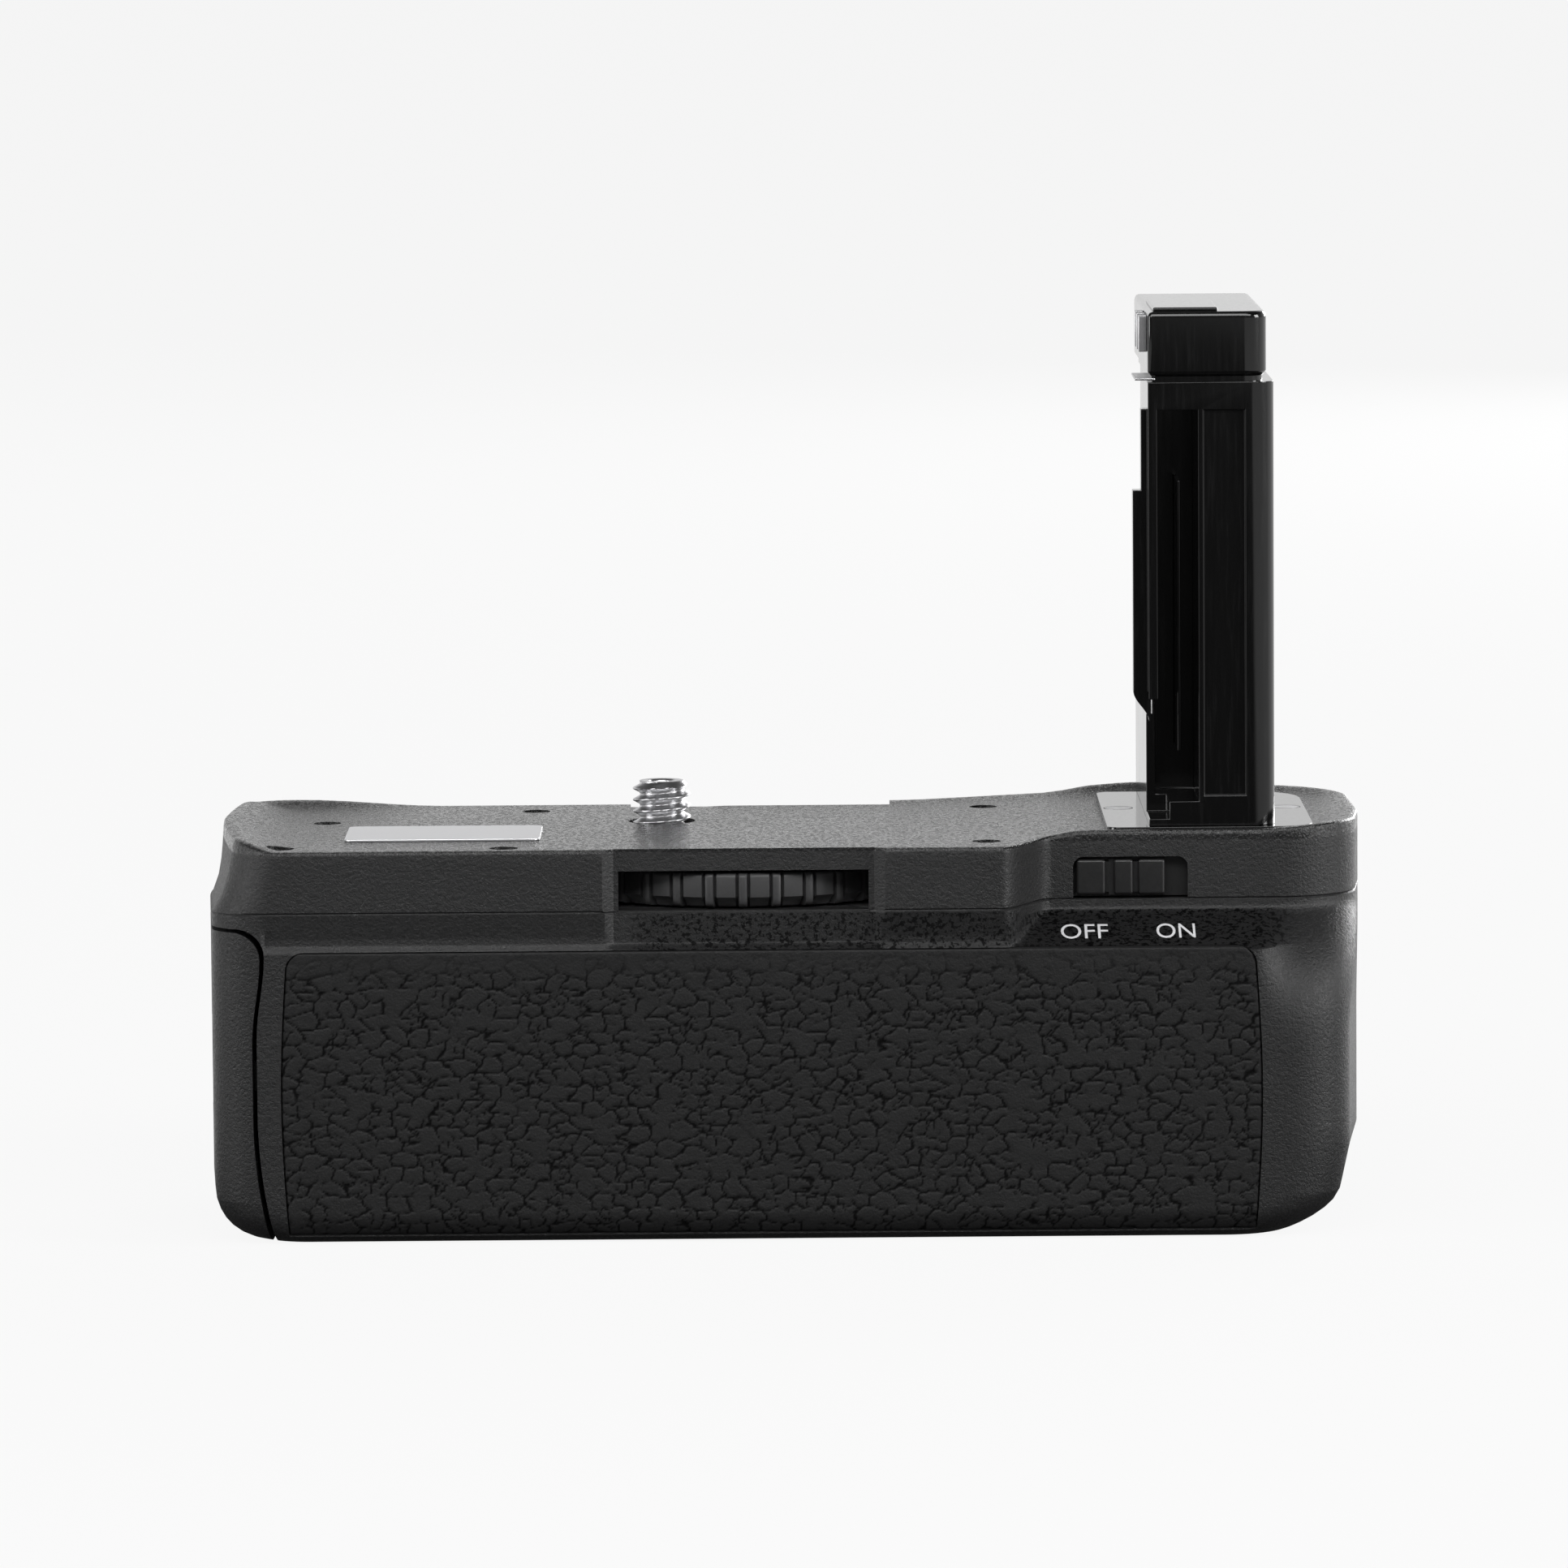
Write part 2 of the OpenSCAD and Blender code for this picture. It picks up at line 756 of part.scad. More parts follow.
module top_cover_screws() {
    color(steel)
        for (s = cover_screws) {
            p = screw_place(s);
            difference() {
                union() {
                    rod([p.x, p.y, cover_head_z], cover_head_r, 1);
                    rod([p.x, p.y, seam_z - boss_h + 0.2], cover_screw_r, cover_head_z - seam_z + boss_h);
                }
                for (a = [0, 90])
                    translate([p.x, p.y, cover_head_z + 1])
                        rotate(a)
                            cube([1.6, 0.4, 1], center = true);
            }
        }
}

module name_plate() {
    color(label_grey)
        translate([label_x, label_y, body_h])
            linear_extrude(label_t)
                polygon(round_path([[0, 0, 1], [label_w, 0, 1], [label_w, label_l, 1], [0, label_l, 1]]));
}

module battery_door() {
    color(shell_black)
        difference() {
            union() {
                intersection() {
                    housing_form(0, 0, seam_z);
                    door_zone(0);
                }
                rod([hinge_x, hinge_y, knuckle_z[1]], knuckle_r, knuckle_z[2] - knuckle_z[1]);
                block(
                    [hinge_x - leaf_l, front - 2, knuckle_z[1]],
                    [hinge_x, hinge_y + 0.7, knuckle_z[2]]
                );
            }
            door_cuts();
        }
}

module door_cuts() {
    difference() {
        block(
            [pocket_x, rear + pocket_in, pocket_in],
            [left + 12, front - pocket_in, door_top - pocket_in]
        );
        block(
            [left, latch_spring_y + latch_spring_l, pocket_in - eps],
            [left + door_mid - 0.4, latch_spring_y + latch_spring_l + 1.4, door_top]
        );
    }
    rod([hinge_x, hinge_y, 0], pin_r + run_fit, seam_z);
    for (z = [[knuckle_z[0], knuckle_z[1] - door_gap], [knuckle_z[2] + door_gap, knuckle_z[3]]])
        rod([hinge_x, hinge_y, z[0] - door_gap], knuckle_r + door_gap, z[1] - z[0] + 2 * door_gap);
    block(
        [left - 2, thumb_y - 0.5, latch_z - 5],
        [pocket_x - 0.9, thumb_y + thumb_l + latch_travel + 0.5, latch_z + 5]
    );
    block(
        [left, thumb_y + 1, latch_z - 1.8],
        [pocket_x + eps, thumb_y + 5.5 + latch_travel, latch_z + 1.8]
    );
}

module door_pad() {
    color(rubber_black)
        block(
            [pocket_x, latch_spring_y + latch_spring_l + 1.8, pocket_in + 1],
            [left + door_mid - 0.3, front - pocket_in - 1, door_top - pocket_in - 1]
        );
}

module door_hinge_pin() {
    color(steel)
        rod([hinge_x, hinge_y, knuckle_z[0]], pin_r, knuckle_z[3] - knuckle_z[0]);
}

module door_latch() {
    plate_x = pocket_x + 0.1;
    plate_t = 0.8;
    color(gloss_black) {
        difference() {
            block(
                [pocket_x - 2, thumb_y, latch_z - 4.5],
                [pocket_x - 1, thumb_y + thumb_l, latch_z + 4.5]
            );
            for (i = [0 : 3])
                translate([pocket_x - 2, thumb_y + 1.4 + 1.4 * i, latch_z])
                    cube([0.6, 0.6, 7], center = true);
        }
        block([pocket_x - 1.1, thumb_y + 1.5, latch_z - 1.5], [plate_x + 0.1, thumb_y + 5, latch_z + 1.5]);
        block([plate_x, latch_plate_y, latch_z - 3], [plate_x + plate_t, latch_spring_y, latch_z + 3]);
        block(
            [plate_x, latch_spring_y - 1, latch_z - 2],
            [left + door_mid - 0.4, latch_spring_y, latch_z + 2]
        );
        block([plate_x, latch_plate_y, latch_z - 1.6], [bolt_x + bolt_t, latch_plate_y + 2, latch_z + 1.6]);
        block([bolt_x, notch_y + 0.3, latch_z - 1.6], [bolt_x + bolt_t, latch_plate_y + 1, latch_z + 1.6]);
    }
}

module latch_spring() {
    color(steel)
        translate([latch_spring_x, latch_spring_y, latch_z])
            rotate([-90, 0, 0])
                coil(latch_spring_r, spring_wire, 6, latch_spring_l);
}

module latch_keeper() {
    color(steel)
        block(
            [keeper_x, notch_y, latch_z - keeper_h / 2],
            [keeper_x + keeper_t, tray_y - 0.1, latch_z + keeper_h / 2]
        );
}

module battery_chamber() {
    p = screw_place(cover_screws[tray_screw]);
    color(gloss_black)
        difference() {
            union() {
                block([tray_x, tray_y, floor_t], [tray_x + tray_l, tray_y + tray_w, tray_top]);
                rod([p.x, p.y, tray_top - 0.5], cover_boss_r, seam_z - tray_top + 0.5);
            }
            for (i = [0, 1])
                translate([tray_x - eps, tray_y + tray_t, floor_t + tray_t + i * (slot_h + slot_rib)])
                    cube([tray_l - tray_t + eps, tray_w - 2 * tray_t, slot_h]);
            contact_slots(fit);
            rod([p.x, p.y, tray_top], cover_screw_r + 0.02, 5);
        }
}

// Six places where the contact blades pass the tray's end wall
module contact_slots(grow) {
    for (i = [0, 1], j = [-1 : 1])
        translate([
            tray_x + tray_l - tray_t - eps,
            mid_y + 9 * j - 1 - grow,
            floor_t + tray_t + slot_h / 2 + i * (slot_h + slot_rib) - 3 - grow
        ])
            cube([tray_t + 2 * eps, 2 + 2 * grow, 6 + 2 * grow]);
}

module battery_contacts() {
    end_x = tray_x + tray_l;
    color(brass)
        for (i = [0, 1], j = [-1 : 1])
            translate([end_x, mid_y + 9 * j + 1, floor_t + tray_t + slot_h / 2 + i * (slot_h + slot_rib)])
                rotate([90, 0, 0])
                    linear_extrude(2)
                        polygon([
                            [0, -3], [0, 3], [-0.3, 3], [-0.3, 1], [-tray_t - 0.9, 0.2],
                            [-tray_t - 0.9, -0.2], [-0.3, -1], [-0.3, -3]
                        ]);
}

module contact_board() {
    end_x = tray_x + tray_l;
    color(board_green)
        block([end_x, mid_y - 15, floor_t + 1], [end_x + 1.2, mid_y + 15, tray_top - 1]);
}

module main_board() {
    color(board_green)
        difference() {
            block([board_x0, board_y0, board_z], [board_x1, board_y1, board_z + board_t]);
            for (p = board_places)
                rod([p.x, p.y, board_z - eps], board_screw_r + 0.1, board_t + 2 * eps);
        }
}

module board_screws() {
    color(steel)
        for (p = board_places) {
            rod([p.x, p.y, board_z + board_t], 1.5, 0.9);
            rod([p.x, p.y, board_z - 4], board_screw_r, board_t + 4.1);
        }
}

module switch_knob() {
    y1 = switch_y + window_d + 0.1;
    panel_w = (knob_w - 2) / 3;
    color(gloss_black) {
        for (i = [0 : 2])
            translate([knob_x + i * (panel_w + 1), switch_y + 0.1, knob_z])
                cube([panel_w, window_d + 0.1, knob_h]);
        block([knob_x, switch_y + 0.5, knob_z + 0.3], [knob_x + knob_w, y1 + 0.1, knob_z + knob_h - 0.3]);
        block(
            [window_x - knob_plate_margin, y1, seam_z + 0.2],
            [window_x + window_w + knob_plate_margin, y1 + knob_plate_t, under_z - 0.2]
        );
        block(
            [stem_x, y1 + knob_plate_t - 0.1, knob_z + 0.8],
            [stem_x + stem_w, y1 + knob_plate_t + stem_l, knob_z + 2.4]
        );
    }
}

module slide_switch() {
    slot_x = stem_x - 0.4;
    color(steel)
        difference() {
            block(
                [slot_x - 2.6, board_y0, board_z + board_t],
                [slot_x - 2.6 + switch_w, board_y0 + switch_d, spigot_z - fit]
            );
            block(
                [slot_x, board_y0 - eps, knob_z + 0.4],
                [slot_x + stem_w + knob_travel + 0.8, board_y0 + stem_l - switch_gap + 0.8, knob_z + 2.6]
            );
        }
}

// Steps of one rib as [share of the spacing, share of the rib's height]
rib_steps = [[-0.22, 0], [-0.16, 1], [-0.05, 1], [0, 0.55], [0.05, 1], [0.16, 1], [0.22, 0], [0.5, 0]];

// Outline of the wheel's rim with its ribs
function rim_path() = [
    for (i = [0 : wheel_ribs - 1], s = rib_steps)
        let (a = 360 * (i + s[0]) / wheel_ribs - 90)
        (wheel_r - rib_h * (1 - s[1])) * [cos(a), sin(a)]
];

module thumbwheel() {
    color(shell_black)
        translate([wheel_x, wheel_y, wheel_z])
            difference() {
                union() {
                    linear_extrude(wheel_t)
                        difference() {
                            polygon(rim_path());
                            circle(r = wheel_r - rib_h - rim_t);
                        }
                    cylinder(r = wheel_r - rib_h - rim_t + 0.5, h = web_t);
                    rotate(mesh_angle)
                        linear_extrude(wheel_t)
                            polygon(gear_path(wheel_teeth));
                }
                rod([0, 0, -eps], axle_r + run_fit, wheel_t + 2 * eps);
            }
}

module wheel_axle() {
    color(steel)
        rod([wheel_x, wheel_y, carrier_z], axle_r, under_z + 1 - carrier_z);
}

module gear_carrier() {
    edge = carrier_boss_r + 0.2;
    color(steel)
        difference() {
            translate([wheel_x, wheel_y, carrier_z])
                linear_extrude(carrier_t)
                    polygon(round_path([
                        for (s = [[-1, -1], [1, -1], [1, 1], [-1, 1]])
                            [s.x * (carrier_dx + edge), s.y * (carrier_dy + edge), edge]
                    ]));
            rod([wheel_x, wheel_y, carrier_z - eps], axle_r, carrier_t + 2 * eps);
            for (p = carrier_places)
                rod([p.x, p.y, carrier_z - eps], carrier_screw_r + 0.1, carrier_t + 2 * eps);
        }
}

module carrier_screws() {
    color(steel)
        for (p = carrier_places) {
            rod([p.x, p.y, carrier_z - head_t], carrier_head_r, head_t);
            rod([p.x, p.y, carrier_z - 0.1], carrier_screw_r, carrier_t + 3);
        }
}

// Ridges of the thread, one pitch apart, on a plain shank
module camera_screw() {
    top = body_h + screw_out;
    crest = 0.18;
    depth = 0.61 * screw_pitch;
    first = body_h + 0.1 + crest;
    ridges = 1 + floor((top - first - crest) / screw_pitch);
    color(steel)
        translate([screw_x, screw_y, 0])
            rotate_extrude()
                polygon(concat(
                    [[0, pinion_z], [shank_r, pinion_z], [shank_r, bush_top + 0.05]],
                    [[screw_r - depth, bush_top + 0.05]],
                    [for (i = [0 : ridges - 1])
                        let (z = first + i * screw_pitch)
                        each [
                            [screw_r - depth, z - 0.5 * screw_pitch + 0.06],
                            [screw_r, z - crest],
                            [screw_r, z + crest],
                            [screw_r - depth, min(top - 0.02, z + 0.5 * screw_pitch - 0.06)]
                        ]],
                    [[screw_r - depth, top], [0, top]]
                ));
}

module screw_gear() {
    color(brass)
        translate([screw_x, screw_y, pinion_z])
            difference() {
                rotate(mesh_angle + 180 + 180 / screw_teeth)
                    linear_extrude(pinion_t)
                        polygon(gear_path(screw_teeth));
                rod([0, 0, -eps], shank_r, pinion_t + 2 * eps);
            }
}

module screw_bush() {
    color(steel)
        difference() {
            rod([screw_x, screw_y, bush_z], bush_r, bush_top - bush_z);
            rod([screw_x, screw_y, bush_z - eps], shank_r + run_fit, bush_top - bush_z + 2 * eps);
        }
}

module tripod_socket() {
    color(steel)
        difference() {
            rod([tripod_x, tripod_y, 0], tripod_body_r, tripod_l);
            rod([tripod_x, tripod_y, -eps], tripod_r, tripod_l - 1 + eps);
        }
}

module post_flange() {
    color(gloss_black)
        difference() {
            translate([0, 0, body_h])
                linear_extrude(flange_t)
                    polygon(round_path([
                        [flange_x0, flange_y0, flange_left_r], [flange_x1, flange_y0, flange_rear_r],
                        [flange_x1, flange_y1, flange_front_r], [flange_x0, flange_y1, flange_left_r]
                    ]));
            block(
                [post_x + spigot_in - 0.1, post_y + spigot_in - 0.1, body_h - eps],
                [post_x + post_w - spigot_in + 0.1, post_y + post_l - spigot_in + 0.1, flange_top + eps]
            );
            for (x = post_screw_x) {
                rod([x, post_screw_y, body_h - eps], post_screw_r + 0.1, flange_t + 2 * eps);
                rod([x, post_screw_y, flange_top - 0.4], post_head_r + 0.1, eps);
            }
        }
}

module post_screws() {
    color(steel)
        for (x = post_screw_x) {
            rod([x, post_screw_y, flange_top - 0.4], post_head_r, 0.4);
            rod([x, post_screw_y, under_z - 0.5], post_screw_r, flange_top - under_z + 0.2);
        }
}

// Cuts in the shaft, from its left rear corner and from the flange up
round_r = 2.5;
channel_x0 = 1;
channel_x1 = 5.4;
channel_d = 14;
channel_z0 = 2.7;
channel_top = 3;
ridge_x0 = 3.3;
ridge_x1 = 3.7;
ridge_in = 5;
ridge_top = 8;
panel_x0 = 6;
panel_x1 = 10.5;
panel_d = 0.5;
core_x0 = 7;
core_in = 2;
core_wall = 1.6;
core_top = 1.5;
foot_t = 0.8;
foot_cut_w = 2.2;
foot_cut_d = 8;
channel_z1 = shaft_h - channel_top;
foot_cut_z = 13.8;
wall_z = 14.5;
wall_out = 1.6;
wall_root = 0.4;
wall_in = 2;
wall_l = post_l - 3 * wall_in;
tab_out = 0.7;
tab_z = 0.755 * shaft_h;

module post_body() {
    color(gloss_black)
        difference() {
            union() {
                translate([post_x, post_y, flange_top])
                    cube([post_w, post_l, shaft_h]);
                translate([post_x - wall_out, post_y + wall_in, flange_top + wall_z])
                    cube([wall_out + wall_root, wall_l, tab_z - wall_z]);
                translate([post_x - tab_out, post_y + wall_in, flange_top + tab_z - eps])
                    cube([tab_out + wall_root, wall_l, channel_z1 - tab_z + eps]);
                block(
                    [post_x + spigot_in, post_y + spigot_in, spigot_z],
                    [post_x + post_w - spigot_in, post_y + post_l - spigot_in, flange_top + eps]
                );
            }
            translate([post_x, post_y, flange_top])
                post_cuts();
        }
}

module post_cuts() {
    difference() {
        block([channel_x0, -eps, channel_z0], [channel_x1, channel_d, channel_z1]);
        block([ridge_x0, ridge_in, channel_z0 + ridge_in], [ridge_x1, channel_d + eps, channel_z1 - ridge_top]);
    }
    block([panel_x0, -eps, channel_z0 + 0.6], [panel_x1, panel_d, channel_z1]);
    block(
        [core_x0, core_in, spigot_z - flange_top - eps],
        [post_w - core_wall, post_l - core_in, shaft_h - core_top]
    );
    block([-2 * wall_out, -eps, foot_t], [foot_cut_w, foot_cut_d, foot_cut_z]);
    translate([post_w - round_r, round_r, -0.01])
        difference() {
            translate([0, -round_r - eps, 0])
                cube([round_r + eps, round_r + eps, shaft_h + eps]);
            rod([0, 0, -eps], round_r, shaft_h + 4 * eps);
        }
}

module post_cap() {
    cap_w = post_w - 0.8;
    chamfer = 0.7;
    color(gloss_black) {
        translate([post_x, post_y + post_l, cap_z])
            rotate([90, 0, 0])
                linear_extrude(post_l)
                    polygon([
                        [0, chamfer], [chamfer, 0], [cap_w - chamfer, 0], [cap_w, chamfer],
                        [cap_w, cap_h - chamfer], [cap_w - chamfer, cap_h], [0.4, cap_h], [0, cap_h - 0.4]
                    ]);
        block(
            [post_x + 0.8, post_y + 0.8, shaft_top],
            [post_x + cap_w - 0.8, post_y + post_l - 0.8, cap_z + 0.1]
        );
        block(
            [post_x + 0.6, post_y + 0.6, cap_z + cap_h - 0.1],
            [post_x + 7.6, post_y + 20, cap_z + cap_h + 0.45]
        );
    }
}

module post_contacts() {
    color(brass) {
        for (i = [0 : 2])
            translate([post_x - 0.9, post_y + 2 + 5 * i, cap_z + cap_h - 4.4])
                cube([0.9, 2, 3.9]);
        block(
            [post_x - 1.4, post_y + 0.3, shaft_top + 0.2],
            [post_x + 0.8, post_y + 10, shaft_top + 0.45]
        );
    }
}

module shutter_button() {
    color(gloss_black)
        at_button() {
            rod([0, 0, -0.05 - button_cap_t], button_r, button_cap_t);
            rod([0, 0, -button_cap_t - button_stem_l], button_stem_r, button_stem_l + 0.5);
        }
}

module shutter_barrel() {
    color(shell_black)
        at_button()
            difference() {
                rod([0, 0, -barrel_l], barrel_r, barrel_l);
                rod([0, 0, -barrel_l + barrel_floor], button_r + run_fit, barrel_l);
            }
}

module shutter_spring() {
    color(steel)
        at_button()
            translate([0, 0, -barrel_l + barrel_floor])
                coil(button_r - 1, 0.3, 4, barrel_l - barrel_floor - button_cap_t - 0.05);
}

module shutter_switch() {
    color(steel)
        at_button() {
            floor_z = barrel_floor - barrel_l;
            block([-1.8, -1.8, floor_z], [1.8, 1.8, floor_z + click_h]);
            rod([0, 0, floor_z + click_h - 0.1], 0.9, click_nub + 0.1);
        }
}

module remote_jack() {
    color(gloss_black)
        translate([jack_x, front, jack_z])
            rotate([90, 0, 0])
                difference() {
                    cylinder(r = jack_body_r, h = jack_l);
                    rod([0, 0, -eps], jack_r, jack_l - 1 + eps);
                }
}

lower_housing();
top_cover();
rear_rubber_grip();
front_rubber_grip();
top_cover_screws();
name_plate();
battery_door();
door_pad();
door_hinge_pin();
door_latch();
latch_spring();
latch_keeper();
battery_chamber();
battery_contacts();
contact_board();
main_board();
board_screws();
switch_knob();
slide_switch();
thumbwheel();
wheel_axle();
gear_carrier();
carrier_screws();
camera_screw();
screw_gear();
screw_bush();
tripod_socket();
post_flange();
post_body();
post_cap();
post_contacts();
post_screws();
shutter_button();
shutter_barrel();
shutter_spring();
shutter_switch();
remote_jack();
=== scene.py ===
"""Looks of the camera battery grip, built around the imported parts.

Lengths are in millimetres until a piece is finished, then in metres like the frame.
+X is to the right seen from the rear, +Y to the front, +Z up.
"""

import math
import random

import bmesh
import bpy
from mathutils import Matrix, Vector, kdtree, noise


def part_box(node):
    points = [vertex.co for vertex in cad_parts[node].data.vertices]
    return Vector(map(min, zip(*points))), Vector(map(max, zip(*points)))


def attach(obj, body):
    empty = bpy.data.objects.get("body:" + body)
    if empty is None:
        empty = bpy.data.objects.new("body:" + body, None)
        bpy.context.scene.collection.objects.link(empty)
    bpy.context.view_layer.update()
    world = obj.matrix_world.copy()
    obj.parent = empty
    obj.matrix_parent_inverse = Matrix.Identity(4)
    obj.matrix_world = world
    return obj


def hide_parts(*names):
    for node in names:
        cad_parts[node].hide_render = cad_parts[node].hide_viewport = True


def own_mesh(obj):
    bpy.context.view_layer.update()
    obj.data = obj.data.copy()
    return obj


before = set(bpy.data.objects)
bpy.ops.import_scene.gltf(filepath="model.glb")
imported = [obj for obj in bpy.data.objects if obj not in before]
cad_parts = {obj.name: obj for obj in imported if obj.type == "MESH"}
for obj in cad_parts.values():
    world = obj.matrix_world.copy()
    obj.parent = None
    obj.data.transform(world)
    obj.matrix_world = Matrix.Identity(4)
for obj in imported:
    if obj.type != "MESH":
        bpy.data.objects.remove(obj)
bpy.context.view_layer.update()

MM = 0.001


def node_box(node):
    """Lowest and highest corner of a CAD node, in millimetres."""
    low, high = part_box(node)
    return low / MM, high / MM


def box_middle(node):
    low, high = node_box(node)
    return (low + high) / 2


# Main planes of the shells, from the frame
house_low, house_high = node_box("lower_housing")
LEFT = house_low.x
RIGHT = house_high.x
REAR = house_low.y
BULGE = house_high.y
SEAM = house_high.z
PLATE = node_box("name_plate")[0].z
FRONT = node_box("remote_jack")[1].y
STEP = node_box("switch_knob")[0].y - 0.1 - REAR

# Plan of the shells
END_BOW = 1.5
BOW_R = 60.0
END_TAPER = 2.3
END_BEND = 0.58
END_ROUND = 6.0
BASE_ROUND = 3.5
REAR_END_R = 5.5
FRONT_END_R = 4.5
THUMB_R = 9.0
GRIP_R = 12.0
SHOULDER_R = 14.0
SHOULDER_X = RIGHT - 27
VALLEY_X = RIGHT - 49
THUMB_LOW_R = 7.0
SIDE_R = 80.0
SIDE_IN = 26.0
SIDE_LEAN = 2.7
SIDE_LEAN_TOP = 1.1
SIDE_Z = 22.0
SIDE_H = 12.0
FACET_W = 8.0
FACET_H = 9.6
HEEL_W = 6.6
HEEL_H = 4.6
HEEL_POWER = 1.75
LEAST_R = 0.6
WALL = 2.75
HOLLOW_LEAD = 2.2
COVER_WALL = 2.0
SEAM_EDGE = 0.16

# Scooped rest under the switch
STEP_X0 = RIGHT - 39.6
STEP_X1 = RIGHT - 34.2
RAMP_Z = SEAM - 4.55
LIP_Z = SEAM - 1.3
ROLL_Z = SEAM - 16
THUMB_X0 = RIGHT - 12.4
THUMB_X1 = RIGHT - 8
COVE = 0.4
COVE_Z = SEAM - 4.4
COVE_H = 1.0
COVE_FADE = 2.8
ROLL_POWER = 3.2
REST_BLEND = 1.3

# Battery door
DOOR_TOP = node_box("battery_door")[1].z
DOOR_MID = 5.6
DOOR_FOOT = 1.8
DOOR_HEAD = 0.9
DOOR_CORNER = 3.0
DOOR_GAP = 0.5

# Wheel zone and windows in the cover
WHEEL_LOW, WHEEL_HIGH = node_box("thumbwheel")
WHEEL_X, WHEEL_Y, _ = box_middle("thumbwheel")
WHEEL_R = (WHEEL_HIGH.x - WHEEL_LOW.x) / 2
ZONE_X0 = WHEEL_X - 13.9
ZONE_X1 = WHEEL_X + 14.1
ZONE_SLANT = 1.2
ZONE_D = WHEEL_LOW.y - REAR
WHEEL_WINDOW_X0 = WHEEL_X - 13.4
WHEEL_WINDOW_X1 = WHEEL_X + 13.5
UNDER_Z = PLATE - 2
SWITCH_WINDOW_X = RIGHT - 31.8
SWITCH_WINDOW_W = 12.4
HOLE_R = 1.55

# Rear rubber
PAD_LOW, PAD_HIGH = node_box("rear_rubber_grip")

ARC_STEPS = 12
SPANS = (16, 12, 8, 8, 24, 6, 6, 240)


def ease(t):
    t = min(1.0, max(0.0, t))
    return t * t * (3 - 2 * t)


def mix(a, b, t):
    return a + (b - a) * t


def soft_min(a, b, width):
    t = min(1.0, max(0.0, 0.5 + 0.5 * (b - a) / width))
    return mix(b, a, t) - width * t * (1 - t)


def round_in(z, r):
    """How far a rounded lower edge of radius r draws in at height z."""
    return r - math.sqrt(r * r - (r - z) ** 2) if z < r else 0.0


# Outlines shared by the housing, the cover and the door


def corner_arc(a, b, c, radius):
    u = (a - b).normalized()
    v = (c - b).normalized()
    half = u.angle(v) / 2
    centre = b + (u + v).normalized() * radius / math.sin(half)
    start = b + u * radius / math.tan(half) - centre
    end = b + v * radius / math.tan(half) - centre
    first = math.atan2(start.y, start.x)
    turn = math.remainder(math.atan2(end.y, end.x) - first, math.tau)
    angles = [first + turn * i / ARC_STEPS for i in range(ARC_STEPS + 1)]
    return [centre + radius * Vector((math.cos(a), math.sin(a))) for a in angles]


def left_at(z):
    rise = max(0, z - SEAM) / (PLATE - SEAM)
    return LEFT + round_in(z, END_ROUND) + END_TAPER * rise**END_BEND


def side_share(z):
    """0 low on the right end, 1 at the height of the rest."""
    return ease((z - SIDE_Z) / SIDE_H)


def heel_at(z):
    """Right end beside the rear corner: leans in below the rest, with a soft round at the base."""
    lean = mix(SIDE_LEAN, SIDE_LEAN_TOP, side_share(z))
    return RIGHT - lean - HEEL_W * max(0.0, 1 - z / HEEL_H) ** HEEL_POWER


def facet_at(z):
    """Right end around the release button: a plane facet."""
    return RIGHT - FACET_W * max(0.0, 1 - z / FACET_H)


def outline(z, inset, shift):
    """Outline at one height, drawn in by an inset; shift(x) sets the rear face back."""
    left = left_at(z) + inset
    near = REAR + round_in(z, BASE_ROUND) + inset
    far = FRONT - round_in(z, BASE_ROUND) - inset
    grip = far + BULGE - FRONT
    bow = BOW_R * (1 / math.cos(math.atan(2 * END_BOW / (far - near))) - 1)
    corners = [
        (heel_at(z) - inset, near, mix(THUMB_LOW_R, THUMB_R, side_share(z)) - inset),
        (facet_at(z) - inset, near + SIDE_IN, SIDE_R - inset),
        (facet_at(z) - inset - 0.1, grip, max(LEAST_R, GRIP_R - inset)),
        (SHOULDER_X, grip, SHOULDER_R - inset),
        (VALLEY_X, far, SHOULDER_R + inset),
        (left + END_BOW, far, max(LEAST_R, FRONT_END_R - inset)),
        (left - bow, (near + far) / 2, BOW_R),
        (left + END_BOW, near, max(LEAST_R, REAR_END_R - inset)),
    ]
    at = [Vector(c[:2]) for c in corners]
    n = len(at)
    arcs = [corner_arc(at[i - 1], at[i], at[(i + 1) % n], corners[i][2]) for i in range(n)]
    rear_end = arcs[0][0].copy()
    lead = 0.8 * inset
    arcs[0] = [Vector((p.x, p.y + shift(p.x + lead))) for p in arcs[0]]
    path = []
    for i, arc in enumerate(arcs):
        path += arc
        goal = rear_end if i == n - 1 else arcs[i + 1][0]
        for k in range(1, SPANS[i]):
            t = k / SPANS[i]
            p = arc[-1].lerp(goal, t)
            if i == n - 1:
                p.y += shift(p.x + lead)
            path.append(p)
    return path


def step_back(x):
    """The cover's rear face steps back towards the switch."""
    return STEP * ease((x - STEP_X0) / (STEP_X1 - STEP_X0))


def zone_share(x):
    """1 inside the wheel zone, with slanted sides."""
    left = ease((x - ZONE_X0 + ZONE_SLANT) / ZONE_SLANT)
    return left * (1 - ease((x - ZONE_X1) / ZONE_SLANT))


def strip_depth(x, z):
    """Shallow strip over the rubber, under the seam; deeper under the wheel."""
    rise = ease((z - COVE_Z) / COVE_H)
    cove = COVE * rise * min(1.0, (SEAM - z) / COVE_FADE) * ease((x - LEFT - 2) / 5)
    return max(cove, ZONE_D * rise * zone_share(x))


